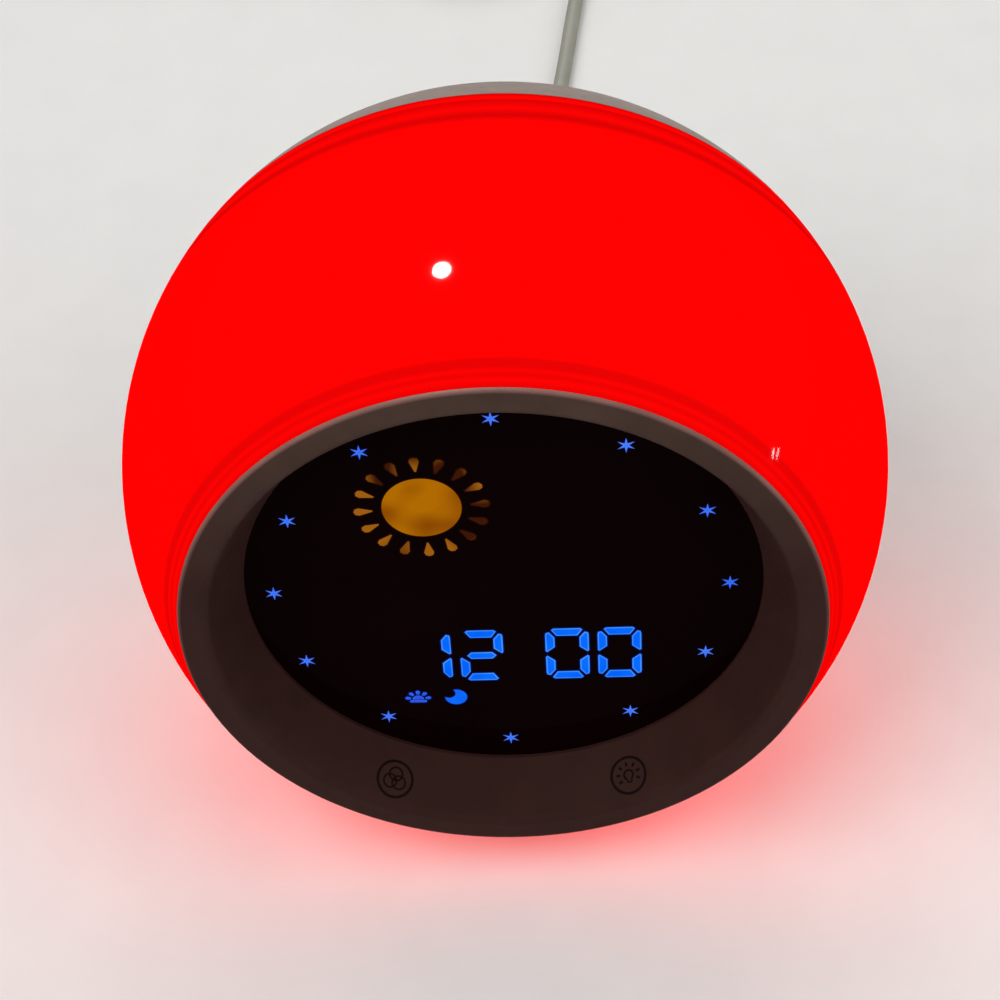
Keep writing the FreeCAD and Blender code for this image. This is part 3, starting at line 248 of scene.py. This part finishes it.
class Shader:
    """A node material on object coordinates, with short calls for the nodes that it uses."""

    def __init__(self, name):
        self.material = bpy.data.materials.new(name)
        self.material.use_nodes = True
        self.tree = self.material.node_tree
        self.body = self.tree.nodes["Principled BSDF"]
        self.place = self.node("ShaderNodeTexCoord").outputs["Object"]

    def node(self, kind, **settings):
        made = self.tree.nodes.new(kind)
        for key, value in settings.items():
            setattr(made, key, value)
        return made

    def link(self, start, end):
        self.tree.links.new(start, end)

    def noise(self, scale, detail=3.0, roughness=0.5, stretch=(1, 1, 1)):
        """Noise from 0 to 1; the scale is in features to the metre."""
        mapping = self.node("ShaderNodeMapping")
        mapping.inputs["Scale"].default_value = stretch
        self.link(self.place, mapping.inputs["Vector"])
        made = self.node("ShaderNodeTexNoise")
        made.inputs["Scale"].default_value = scale
        made.inputs["Detail"].default_value = detail
        made.inputs["Roughness"].default_value = roughness
        self.link(mapping.outputs["Vector"], made.inputs["Vector"])
        return made.outputs["Fac"]

    def ramp(self, value, stops):
        """Colour ramp from (position, colour) stops."""
        made = self.node("ShaderNodeValToRGB")
        elements = made.color_ramp.elements
        while len(elements) < len(stops):
            elements.new(0.5)
        for element, (position, shade) in zip(elements, stops):
            element.position = position
            element.color = shade
        self.link(value, made.inputs["Fac"])
        return made.outputs["Color"]

    def span(self, value, low, high, start=0.0, end=1.0):
        """Value carried from one range to another, held at its ends."""
        made = self.node("ShaderNodeMapRange")
        made.inputs["From Min"].default_value = low
        made.inputs["From Max"].default_value = high
        made.inputs["To Min"].default_value = start
        made.inputs["To Max"].default_value = end
        self.link(value, made.inputs["Value"])
        return made.outputs["Result"]

    def math(self, operation, first, second=0.0):
        """Two values combined; either may be a number."""
        made = self.node("ShaderNodeMath", operation=operation)
        for value, socket in ((first, made.inputs[0]), (second, made.inputs[1])):
            if isinstance(value, (int, float)):
                socket.default_value = value
            else:
                self.link(value, socket)
        return made.outputs["Value"]

    def mixed(self, share, first, second):
        """Colour between two, by a share from 0 to 1."""
        made = self.node("ShaderNodeMix", data_type="RGBA")
        colours = [socket for socket in made.inputs if socket.type == "RGBA"]
        self.link(share, made.inputs["Factor"])
        self.link(first, colours[0])
        self.link(second, colours[1])
        return next(socket for socket in made.outputs if socket.type == "RGBA")

    def along(self, direction, origin):
        """Distance in metres along a direction from a point, at each place of the surface."""
        away = self.node("ShaderNodeVectorMath", operation="SUBTRACT")
        self.link(self.place, away.inputs[0])
        away.inputs[1].default_value = origin
        dot = self.node("ShaderNodeVectorMath", operation="DOT_PRODUCT")
        self.link(away.outputs["Vector"], dot.inputs[0])
        dot.inputs[1].default_value = direction
        return dot.outputs["Value"]

    def bump(self, height, strength, distance):
        made = self.node("ShaderNodeBump")
        made.inputs["Strength"].default_value = strength
        made.inputs["Distance"].default_value = distance * MM
        self.link(height, made.inputs["Height"])
        self.link(made.outputs["Normal"], self.body.inputs["Normal"])

    def set(self, **values):
        """Constant values of the Principled shader, spaces in names written as underscores."""
        for key, value in values.items():
            self.body.inputs[key.replace("_", " ")].default_value = value


def moulded(name, shade, roughness=0.4, grain=0.25, grain_scale=9000.0, specular=0.5):
    """Moulded plastic or rubber: slightly uneven colour and gloss, and a fine spark-eroded grain."""
    made = Shader(name)
    darker = tuple(0.86 * c for c in shade[:3]) + (1.0,)
    cloudy = made.noise(160.0, detail=4.0)
    made.link(made.ramp(cloudy, [(0.3, darker), (0.7, shade)]), made.body.inputs["Base Color"])
    gloss = made.span(made.noise(420.0), 0.3, 0.7, roughness - 0.05, roughness + 0.06)
    made.link(gloss, made.body.inputs["Roughness"])
    made.set(Specular_IOR_Level=specular)
    made.bump(made.noise(grain_scale, detail=2.0), grain, 0.05)
    return made.material


def metal(name, shade, roughness=0.3):
    """Plated or rolled metal with fine lengthwise brushing."""
    made = Shader(name)
    made.set(Metallic=1.0)
    brushed = made.noise(3000.0, detail=2.0, stretch=(1, 0.08, 1))
    darker = tuple(0.8 * c for c in shade[:3]) + (1.0,)
    made.link(made.ramp(brushed, [(0.3, darker), (0.7, shade)]), made.body.inputs["Base Color"])
    made.link(made.span(brushed, 0.3, 0.7, roughness, roughness + 0.15), made.body.inputs["Roughness"])
    made.bump(brushed, 0.15, 0.02)
    return made.material


def woven(name, shade):
    """Woven strap or pressed paper: fine slanting waves give the threads."""
    made = Shader(name)
    wave = made.node("ShaderNodeTexWave", bands_direction="DIAGONAL")
    wave.inputs["Scale"].default_value = 1400.0
    wave.inputs["Distortion"].default_value = 1.5
    made.link(made.place, wave.inputs["Vector"])
    darker = tuple(0.5 * c for c in shade[:3]) + (1.0,)
    made.link(made.ramp(wave.outputs["Fac"], [(0.2, darker), (0.8, shade)]), made.body.inputs["Base Color"])
    made.set(Roughness=0.85)
    made.bump(wave.outputs["Fac"], 0.5, 0.1)
    return made.material


def lit(name, shade, dim, scale=150.0):
    """Mark lit from behind, a little uneven as over single lamps."""
    made = Shader(name)
    uneven = made.noise(scale, detail=2.0)
    made.link(made.ramp(uneven, [(0.35, dim), (0.62, shade)]), made.body.inputs["Emission Color"])
    made.set(Emission_Strength=1.0, Roughness=0.4, Specular_IOR_Level=0.0)
    made.set(Base_Color=(0.0, 0.0, 0.002, 1.0))
    return made.material


def sun_light():
    """Amber disc with soft patches, and rays that are lit less evenly."""
    made = Shader("sun_light")
    centre = face_place(*SUN_CENTRE, WINDOW_FRONT)
    across = made.along((1, 0, 0), centre)
    rise = made.along(face_direction(0, 1, 0), centre)
    squares = made.math("ADD", made.math("POWER", across, 2.0), made.math("POWER", rise, 2.0))
    away = made.math("SQRT", squares)
    disc = made.ramp(made.noise(95.0, detail=1.0), [(0.36, colour(132, 68, 2)), (0.6, colour(176, 106, 3))])
    rays = made.ramp(made.noise(120.0, detail=0.0), [(0.38, colour(60, 22, 6)), (0.64, colour(156, 92, 18))])
    shade = made.mixed(made.span(away, SUN_RADIUS * MM, SUN_RAY_START * MM), disc, rays)
    made.link(shade, made.body.inputs["Emission Color"])
    made.set(Base_Color=(0.0, 0.0, 0.0, 1.0), Emission_Strength=1.0, Roughness=0.4, Specular_IOR_Level=0.0)
    return made.material


def glossed(made, share, gloss):
    """Lay a mirror film over a finished shader; share says how much of it, as a number or a node's value."""
    surface = made.tree.nodes["Material Output"].inputs["Surface"]
    below = surface.links[0].from_socket
    mixed = made.node("ShaderNodeMixShader")
    if isinstance(share, float):
        mixed.inputs["Fac"].default_value = share
    else:
        made.link(share, mixed.inputs["Fac"])
    made.link(below, mixed.inputs[1])
    made.link(gloss.outputs["BSDF"], mixed.inputs[2])
    made.link(mixed.outputs["Shader"], surface)


def shadow_stops():
    """Heights along the face axis with the light there: full beside the runs, dipping in each ring."""
    shown = 1 / SHELL_GLOW
    stops = []
    for run in SHADOW_RUNS:
        stops.append((run[0][0] - SHADOW_EDGE, 1.0))
        for start, dark_from, dark_to, end, left in run:
            stops += [(start, shown), (dark_from, left * shown), (dark_to, left * shown), (end, shown)]
        stops.append((run[-1][3] + SHADOW_EDGE, 1.0))
    return stops


def glowing_shell():
    """Milky shell lit from inside, darker in thin rings over the parts behind its two edges."""
    made = Shader("glow_shell")
    height = made.along(face_direction(0, 0, 1), BALL_CENTRE * MM)
    stops = shadow_stops()
    low, high = stops[0][0], stops[-1][0]
    shades = [((at - low) / (high - low), (light, 0, 0, 1)) for at, light in stops]
    made.link(made.ramp(made.span(height, low * MM, high * MM), shades), made.body.inputs["Emission Color"])
    uneven = made.noise(14.0, detail=1.0)
    strength = made.span(uneven, 0.3, 0.7, 0.98 * SHELL_GLOW, 1.02 * SHELL_GLOW)
    made.link(strength, made.body.inputs["Emission Strength"])
    made.set(Base_Color=colour(58, 0, 0), Roughness=0.3, Specular_IOR_Level=0.0)
    made.bump(made.noise(2500.0, detail=1.0), 0.02, 0.02)
    gloss = made.node("ShaderNodeBsdfGlossy")
    gloss.inputs["Roughness"].default_value = 0.04
    glossed(made, SHELL_FILM, gloss)
    return made.material


def smoked_window():
    """Nearly black sheet that mirrors the room only at a low angle."""
    made = Shader("smoked_lens")
    made.link(made.ramp(made.noise(30.0), [(0.3, colour(11, 1, 2)), (0.7, colour(14, 2, 3))]),
              made.body.inputs["Base Color"])
    made.set(Roughness=0.3, Specular_IOR_Level=0.0)
    gloss = made.node("ShaderNodeBsdfGlossy")
    gloss.inputs["Roughness"].default_value = 0.06
    facing = made.node("ShaderNodeLayerWeight")
    steep = made.math("MULTIPLY", made.math("POWER", facing.outputs["Facing"], 6.0), WINDOW_SHEEN)
    glossed(made, made.math("ADD", steep, WINDOW_FILM), gloss)
    return made.material


def bezel_material():
    """Dark matt moulding with a fine grain; the upper part of its lip is made paler by a painted sheen, and a
    painted highlight runs along its edge there.
    """
    made = Shader("dark_shell")
    centre = BALL_CENTRE * MM
    across = made.along((1, 0, 0), centre)
    rise = made.along(face_direction(0, 1, 0), centre)
    squares = made.math("ADD", made.math("POWER", across, 2.0), made.math("POWER", rise, 2.0))
    away = made.math("SQRT", squares)
    cloudy = made.noise(120.0, detail=4.0)
    dark = made.ramp(cloudy, [(0.3, colour(47, 26, 22)), (0.7, colour(53, 30, 26))])
    # Painted sheen: a paler tone laid on the upper part of the lip
    painted_lip_sheen = made.ramp(cloudy, [(0.3, colour(68, 50, 43)), (0.7, colour(76, 57, 49))])
    # Painted highlight: a pale line along the lip's outer edge on its upper side
    edge = made.ramp(cloudy, [(0.3, colour(122, 86, 79)), (0.7, colour(138, 98, 90))])
    on_lip = made.span(made.along(face_direction(0, 0, 1), centre), (DISH_EDGE - 2) * MM, LIP_HEIGHT * MM)
    # Where the painted sheen and the painted edge highlight lie: upper lip, and the lip's outer edge on its
    # upper side
    lip_sheen_share = made.math("MULTIPLY", on_lip, made.span(rise, 15 * MM, 55 * MM))
    edge_highlight_share = made.math("MULTIPLY", made.span(away, 59.5 * MM, 60.1 * MM), made.span(rise, -15 * MM, 35 * MM))
    shade = made.mixed(edge_highlight_share, made.mixed(lip_sheen_share, dark, painted_lip_sheen), edge)
    made.link(shade, made.body.inputs["Base Color"])
    made.link(made.span(made.noise(500.0), 0.3, 0.7, 0.5, 0.6), made.body.inputs["Roughness"])
    made.set(Specular_IOR_Level=0.08)
    made.bump(made.noise(8000.0, detail=2.0), 0.18, 0.04)
    return made.material


def board_material():
    """Green board with paler copper tracks under the mask."""
    made = Shader("circuit_board")
    tracks = made.node("ShaderNodeTexBrick")
    tracks.inputs["Scale"].default_value = 260.0
    tracks.inputs["Color1"].default_value = colour(24, 84, 52)
    tracks.inputs["Color2"].default_value = colour(28, 96, 58)
    tracks.inputs["Mortar"].default_value = colour(58, 128, 80)
    tracks.inputs["Mortar Size"].default_value = 0.012
    made.link(made.place, tracks.inputs["Vector"])
    made.link(tracks.outputs["Color"], made.body.inputs["Base Color"])
    made.link(made.span(made.noise(300.0), 0.3, 0.7, 0.25, 0.4), made.body.inputs["Roughness"])
    made.bump(tracks.outputs["Fac"], 0.2, 0.03)
    return made.material


def icon_light():
    """Moon and sunrise: the moon bright, the sunrise a little paler and dimmer."""
    made = Shader("icon_light")
    middle = (MOON_CENTRE[0] + SUNRISE_CENTRE[0]) / 2
    across = made.along((1, 0, 0), (middle * MM, 0, 0))
    shades = [(0.4, colour(52, 84, 236)), (0.6, colour(14, 105, 255))]
    made.link(made.ramp(made.span(across, -1 * MM, 1 * MM), shades), made.body.inputs["Emission Color"])
    uneven = made.noise(400.0)
    made.link(made.span(uneven, 0.3, 0.7, 0.85, 1.05), made.body.inputs["Emission Strength"])
    made.set(Base_Color=(0.0, 0.0, 0.002, 1.0), Roughness=0.4, Specular_IOR_Level=0.0)
    return made.material


def paint(material, *names):
    """Give CAD nodes a finished material in the slots that they have."""
    for name in names:
        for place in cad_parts[name].material_slots:
            place.material = material


# Pieces that scene.py makes

def add_mesh(name, vertices, faces, material):
    mesh = bpy.data.meshes.new(name)
    mesh.from_pydata([tuple(v) for v in vertices], [], faces)
    mesh.validate()
    bm = bmesh.new()
    bm.from_mesh(mesh)
    bmesh.ops.recalc_face_normals(bm, faces=bm.faces)
    bm.to_mesh(mesh)
    bm.free()
    mesh.materials.append(material)
    made = bpy.data.objects.new(name, mesh)
    bpy.context.scene.collection.objects.link(made)
    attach(made, "clock")
    return made


def drawn_in(outline, amount):
    """Outline of straight sides with every side moved inwards, or outwards for an amount below 0."""
    ahead = outline[1:] + outline[:1]
    area = sum(a[0] * b[1] - b[0] * a[1] for a, b in zip(outline, ahead))
    side = -amount if area > 0 else amount
    normals = []
    for a, b in zip(outline, ahead):
        length = math.hypot(b[0] - a[0], b[1] - a[1])
        normals.append(((b[1] - a[1]) / length, (a[0] - b[0]) / length))
    moved = []
    for (x, y), (ax, ay), (bx, by) in zip(outline, normals[-1:] + normals[:-1], normals):
        share = side / max(MITRE_LIMIT, 1 + ax * bx + ay * by)
        moved.append((x + share * (ax + bx), y + share * (ay + by)))
    return moved


def plate_rings(outline, rim):
    """The outline at four heights: twice at the glow's edge, then at the plate's foot and at its top."""
    glow = drawn_in(outline, -GLOW_WIDTH)
    return (
        (glow, WINDOW_FRONT - PLATE_SINK), (glow, WINDOW_FRONT + GLOW_RISE / 2),
        (outline, WINDOW_FRONT + GLOW_RISE), (drawn_in(outline, rim), WINDOW_FRONT + PLATE_RISE),
    )


def add_plates(name, outlines, rim, materials):
    """Thin plates on the window, from materials for their flat tops, their sloping rims and the glow."""
    vertices, faces, kinds = [], [], []
    for outline in outlines:
        start, count = len(vertices), len(outline)
        for corners, height in plate_rings(outline, rim):
            vertices += [face_place(x, y, height) for x, y in corners]
        for ring, kind in enumerate((2, 2, 1)):
            for k in range(count):
                a, b = start + ring * count + k, start + ring * count + (k + 1) % count
                faces.append((a, b, b + count, a + count))
                kinds.append(kind)
        faces.append(tuple(range(start, start + count)))
        faces.append(tuple(range(start + 3 * count, start + 4 * count)))
        kinds += [2, 0]
    made = add_mesh(name, vertices, faces, materials[0])
    for material in materials[1:]:
        made.data.materials.append(material)
    for face, kind in zip(made.data.polygons, kinds):
        face.material_index = kind
    return made


def bar_outlines():
    """Corners of the seven bars of a digit about its centre, by the bars' usual letters."""
    edge, half = DIGIT_WIDTH / 2, DIGIT_HEIGHT / 2
    top = [
        (-2.6, half), (2.6, half), (3.15, half - 0.5),
        (2.1, half - 2.25), (-2.1, half - 2.25), (-3.15, half - 0.5),
    ]
    side = [
        (edge - 0.9, half - 1.0), (edge - 0.15, half - 1.25), (edge, half - 1.9), (edge, 0.75),
        (edge - 0.4, 0.4), (edge - 2.0, 1.85), (edge - 2.0, 4.6),
    ]
    middle = [(-3.0, 0), (-2.1, 1.02), (2.1, 1.02), (3.0, 0), (2.1, -1.02), (-2.1, -1.02)]
    outlines = {"a": top, "g": middle, "d": [(x, -y) for x, y in top]}
    for letter, sx, sy in (("b", 1, 1), ("c", 1, -1), ("f", -1, 1), ("e", -1, -1)):
        outlines[letter] = [(sx * x, sy * y) for x, y in side]
    return outlines


def digit_outlines():
    """The lit bars of the time that is shown."""
    outlines = []
    for centre, digit in zip(DIGIT_CENTRES, DIGITS_SHOWN):
        for letter, outline in bar_outlines().items():
            if letter in SEGMENTS_LIT[digit]:
                placed = [(x + centre, y + DIGIT_LINE) for x, y in outline]
                outlines.append(drawn_in(placed, DIGIT_GAP / 2))
    return outlines


def around(centre, radius, degrees):
    turn = math.radians(degrees)
    return centre[0] + radius * math.cos(turn), centre[1] + radius * math.sin(turn)


def turned(outline, centre, degrees):
    """Outline drawn about the origin, turned and set at a centre."""
    placed = []
    for x, y in outline:
        placed.append(around(centre, math.hypot(x, y), degrees + math.degrees(math.atan2(y, x))))
    return placed


def star_outlines():
    """Twelve hour marks with six thin arms each."""
    outlines = []
    for angle in STAR_ANGLES:
        centre = around(STAR_RING_CENTRE, STAR_RING, 90 - angle)
        reaches = [STAR_WAIST if k % 2 else STAR_REACH for k in range(12)]
        outlines.append([around(centre, reach, 90 + 30 * k) for k, reach in enumerate(reaches)])
    return outlines


def sun_outlines():
    """Disc and drop-shaped rays, blunt outside and pointed inside."""
    outlines = [[around(SUN_CENTRE, SUN_RADIUS, 360 * k / 64) for k in range(64)]]
    half, start, end = SUN_RAY_WIDTH / 2, SUN_RAY_START, SUN_RAY_END
    drop = [
        (start, -0.15 * half), (end - 1.1 * half, -half), (end - 0.3 * half, -0.75 * half), (end, 0),
        (end - 0.3 * half, 0.75 * half), (end - 1.1 * half, half), (start, 0.15 * half),
    ]
    for k in range(SUN_RAYS):
        outlines.append(turned(drop, SUN_CENTRE, 360 / SUN_RAYS * k + SUN_RAY_TURN))
    return outlines


def moon_outline():
    """Thick crescent: a circle with a smaller one bitten out at its upper left."""
    bite_centre = around(MOON_CENTRE, 0.8 * MOON_RADIUS, 142)
    outer = [around(MOON_CENTRE, MOON_RADIUS, 180 + 10 * k) for k in range(29)]
    bite = [around(bite_centre, MOON_BITE, 40 - 12 * k) for k in range(14)]
    return outer + bite


def sunrise_outlines():
    """Low bar, half sun on it and five rounded rays."""
    x, y = SUNRISE_CENTRE
    bar = [
        (x - 1.5, y - 0.85), (x + 1.5, y - 0.85), (x + 1.7, y - 0.5),
        (x + 1.5, y - 0.2), (x - 1.5, y - 0.2), (x - 1.7, y - 0.5),
    ]
    dome = [around((x, y), 1.15, 18 * k) for k in range(11)]
    outlines = [bar, dome]
    for turn in (12, 51, 90, 129, 168):
        ray = [(0.62, 0), (0.3, 0.42), (-0.5, 0.26), (-0.5, -0.26), (0.3, -0.42)]
        outlines.append(turned(ray, around((x, y), 2.0, turn), turn))
    return outlines


def add_display():
    """Everything that is lit on the window."""
    blue_glow = lit("blue_glow", colour(0, 20, 92), colour(0, 15, 76))
    amber_glow = lit("amber_glow", colour(34, 10, 1), colour(28, 8, 1))
    blue = lit("digit_light", colour(8, 110, 255), colour(3, 98, 250))
    rim = lit("digit_rim", colour(74, 148, 255), colour(52, 132, 252))
    star = lit("star_light", colour(60, 122, 255), colour(40, 104, 246), scale=60.0)
    arms = lit("star_arms", colour(108, 142, 255), colour(86, 122, 246), scale=60.0)
    amber = sun_light()
    digits = add_plates("digits_lit", digit_outlines(), DIGIT_RIM, (blue, rim, blue_glow))
    stars = add_plates("stars_lit", star_outlines(), 0.1, (star, arms, blue_glow))
    sun = add_plates("sun_lit", sun_outlines(), 0.12, (amber, amber, amber_glow))
    icon_shapes = [moon_outline(), *sunrise_outlines()]
    icons = add_plates("icons_lit", icon_shapes, 0.08, (icon_light(), star, blue_glow))
    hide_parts("digit_segments")
    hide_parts("hour_marks")
    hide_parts("sun_window")
    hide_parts("icon_windows")


def dish_place(across, up, angle):
    """Point just above the dish wall: across to the right and up towards the window from a mark's middle."""
    run, rise = DISH_RADIUS - WINDOW_RADIUS, DISH_EDGE - WINDOW_EDGE
    slope = math.hypot(run, rise)
    climb = MARK_CLIMB - up
    radius = WINDOW_RADIUS + climb * run / slope - MARK_LIFT * rise / slope
    height = WINDOW_EDGE + climb * rise / slope + MARK_LIFT * run / slope
    turn = math.radians(angle) + across / radius
    return face_place(radius * math.cos(turn), radius * math.sin(turn), height)


def circle_points(radius, x=0.0, y=0.0, start=0.0, end=360.0):
    """Points every ten degrees or so along an arc."""
    count = round((end - start) / 10)
    turns = [math.radians(start + (end - start) * k / count) for k in range(count + 1)]
    return [(x + radius * math.cos(t), y + radius * math.sin(t)) for t in turns]


def stroke_faces(points, width, angle, vertices, faces):
    """Flat ribbon of a line's width along points on the dish wall."""
    start = len(vertices)
    for k, (x, y) in enumerate(points):
        before, after = points[max(0, k - 1)], points[min(len(points) - 1, k + 1)]
        if points[0] == points[-1] and k in (0, len(points) - 1):
            before, after = points[-2], points[1]
        dx, dy = after[0] - before[0], after[1] - before[1]
        size = math.hypot(dx, dy)
        nx, ny = -dy / size * width / 2, dx / size * width / 2
        vertices.append(dish_place(x + nx, y + ny, angle))
        vertices.append(dish_place(x - nx, y - ny, angle))
    for k in range(len(points) - 1):
        a = start + 2 * k
        faces.append((a, a + 1, a + 3, a + 2))


def colour_mark():
    """Three overlapping circles in a ring, dark where they meet."""
    strokes = [(circle_points(MARK_RADIUS), MARK_LINE), (circle_points(0.22), 0.46)]
    for turn in (90, 210, 330):
        strokes.append((circle_points(1.35, *around((0, 0), 1.05, turn)), 0.38))
    return strokes


def lamp_mark():
    """Bulb with short rays in a ring."""
    strokes = [(circle_points(MARK_RADIUS), MARK_LINE)]
    strokes.append((circle_points(0.95, 0, 0.1, -55, 235), 0.42))
    strokes.append(([(-0.47, -0.7), (-0.4, -1.4), (0.4, -1.4), (0.47, -0.7)], 0.4))
    for turn in range(-30, 211, 40):
        strokes.append(([around((0, 0.1), 1.75, turn), around((0, 0.1), 2.6, turn)], 0.52))
    return strokes


def add_marks(material):
    for name, strokes, angle in zip(("colour_mark", "lamp_mark"), (colour_mark(), lamp_mark()), MARK_ANGLES):
        vertices, faces = [], []
        for points, width in strokes:
            stroke_faces(points, width, angle, vertices, faces)
        add_mesh(name, vertices, faces, material)


# Room

def shown_rays(tree):
    """1 for what the camera sees, directly, in mirrors or through glass, and 0 for light on things."""
    path = tree.nodes.new("ShaderNodeLightPath")
    seen = path.outputs["Is Camera Ray"]
    for name in ("Is Glossy Ray", "Is Transmission Ray"):
        both = tree.nodes.new("ShaderNodeMath")
        both.operation = "MAXIMUM"
        tree.links.new(seen, both.inputs[0])
        tree.links.new(path.outputs[name], both.inputs[1])
        seen = both.outputs["Value"]
    return seen


def add_floor():
    """Pale round floor that keeps the shadows and, far from the object, runs into the pale background."""
    bpy.ops.mesh.primitive_circle_add(vertices=96, radius=6, fill_type="NGON", location=(0, 0, 0))
    floor = bpy.context.object
    floor.name = "floor"
    made = Shader("floor")
    shades = made.ramp(made.noise(60.0), [(0.3, colour(227, 226, 224)), (0.7, colour(230, 229, 227))])
    made.link(shades, made.body.inputs["Base Color"])
    made.set(Roughness=0.9, Specular_IOR_Level=0.1)
    away = made.node("ShaderNodeVectorMath", operation="LENGTH")
    made.link(made.place, away.inputs[0])
    far = made.span(away.outputs["Value"], FADE_START * MM, FADE_END * MM)
    pale = made.node("ShaderNodeEmission")
    pale.inputs["Color"].default_value = BACKGROUND
    blend = made.node("ShaderNodeMixShader")
    made.link(made.math("MULTIPLY", far, shown_rays(made.tree)), blend.inputs["Fac"])
    made.link(made.body.outputs["BSDF"], blend.inputs[1])
    made.link(pale.outputs["Emission"], blend.inputs[2])
    made.link(blend.outputs["Shader"], made.tree.nodes["Material Output"].inputs["Surface"])
    floor.data.materials.append(made.material)


def add_light(name, place, aim, size, power):
    """Soft square light that doesn't show in mirrors."""
    data = bpy.data.lights.new(name, "AREA")
    data.size = size * MM
    data.energy = power
    light = bpy.data.objects.new(name, data)
    light.location = Vector(place) * MM
    light.rotation_euler = (Vector(aim) - Vector(place)).to_track_quat("-Z", "Y").to_euler()
    light.visible_glossy = False
    bpy.context.scene.collection.objects.link(light)


def add_highlight(name, spot, wide, tall, slant, power):
    """Lamp that only mirrors see, placed where the ball shows it at a given spot."""
    point = face_place(*spot)
    outward = (point - BALL_CENTRE * MM).normalized()
    to_camera = (CAMERA_PLACE * MM - point).normalized()
    mirrored = 2 * to_camera.dot(outward) * outward - to_camera
    data = bpy.data.lights.new(name, "AREA")
    data.shape = "ELLIPSE"
    data.size = wide * MM
    data.size_y = tall * MM
    data.energy = power
    light = bpy.data.objects.new(name, data)
    light.location = point + mirrored * HIGHLIGHT_DISTANCE * MM
    facing = (-mirrored).to_track_quat("-Z", "Y").to_matrix()
    light.rotation_euler = (Matrix.Rotation(math.radians(slant), 3, mirrored) @ facing).to_euler()
    light.visible_diffuse = False
    light.visible_transmission = False
    bpy.context.scene.collection.objects.link(light)


def add_world():
    """Pale surroundings, and a softer sky for light."""
    world = bpy.data.worlds.new("studio")
    bpy.context.scene.world = world
    world.use_nodes = True
    tree = world.node_tree
    background = tree.nodes["Background"]
    background.inputs["Color"].default_value = BACKGROUND
    level = tree.nodes.new("ShaderNodeMapRange")
    level.inputs["To Min"].default_value = SKY_LIGHT
    level.inputs["To Max"].default_value = 1.0
    tree.links.new(shown_rays(tree), level.inputs["Value"])
    tree.links.new(level.outputs["Result"], background.inputs["Strength"])


def paint_outside():
    """Everything that shows from outside, except the lit plates and the marks."""
    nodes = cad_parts
    plug = moulded("plug_grey", colour(134, 133, 121), roughness=0.5, grain=0.35)
    paint(bezel_material(), "front_bezel")
    paint(smoked_window(), "display_lens")
    paint(glowing_shell(), "diffuser_shell")
    shell = moulded("rear_grey", colour(136, 119, 110), roughness=0.5, specular=0.22)
    paint(shell, "rear_shell", "base_plate")
    buttons = [name for name in nodes if name.endswith("_button")]
    paint(moulded("button_grey", colour(150, 134, 126), roughness=0.35), *buttons)
    paint(moulded("foot_rubber", colour(50, 48, 48), roughness=0.75, grain=0.5), "foot_ring")
    paint(metal("plug_metal", colour(205, 205, 208), roughness=0.18), "barrel_tip", "usb_shell")
    paint(plug, "supply_plug", "usb_grip")
    paint(woven("tie_black", colour(44, 44, 46)), "cord_tie")


def paint_inside():
    """Pieces behind the face and in the shell."""
    steel = metal("steel_screw", colour(176, 178, 182))
    white = moulded("white_inner", colour(232, 230, 226), roughness=0.5)
    black = moulded("black_part", colour(30, 30, 32), roughness=0.5)
    paint(moulded("mask_black", colour(14, 2, 2), roughness=0.9, specular=0.01), "display_mask")
    paint(white, "light_block", "reflector_cup", "core_frame")
    paint(board_material(), "display_board", "lamp_board", "main_board")
    paint(moulded("lamp_white", colour(248, 244, 222), roughness=0.3), "display_leds", "lamp_leds")
    paint(steel, "display_screws", "board_screws", "rear_screws", "base_screws", "coin_cell")
    paint(metal("copper_foil", colour(190, 120, 80)), "touch_pads")
    paint(black, "tact_switches", "board_chips", "coin_cell_holder", "power_socket", "usb_tongue")
    paint(moulded("basket_steel", colour(70, 72, 76), roughness=0.35), "speaker_frame")
    paint(moulded("magnet_grey", colour(58, 58, 60), roughness=0.55, grain=0.5), "speaker_magnet")
    paint(woven("paper_cone", colour(50, 47, 44)), "speaker_cone")
    paint(moulded("ribbon_grey", colour(190, 190, 194), roughness=0.45), "ribbon_cable")
    paint(moulded("connector_white", colour(234, 230, 212), roughness=0.4), "ribbon_connectors")


def main():
    add_camera()
    add_cord(moulded("cord_grey", colour(142, 141, 128), roughness=0.5, grain=0.3, grain_scale=5000.0))
    paint_outside()
    paint_inside()
    add_display()
    add_marks(moulded("mark_ink", colour(20, 9, 9), roughness=0.7, specular=0.05))
    add_floor()
    add_world()
    for lamp in LAMPS:
        add_light(*lamp)
    for lamp in HIGHLIGHTS:
        add_highlight(*lamp)
    bpy.context.scene.view_settings.view_transform = "Standard"


main()
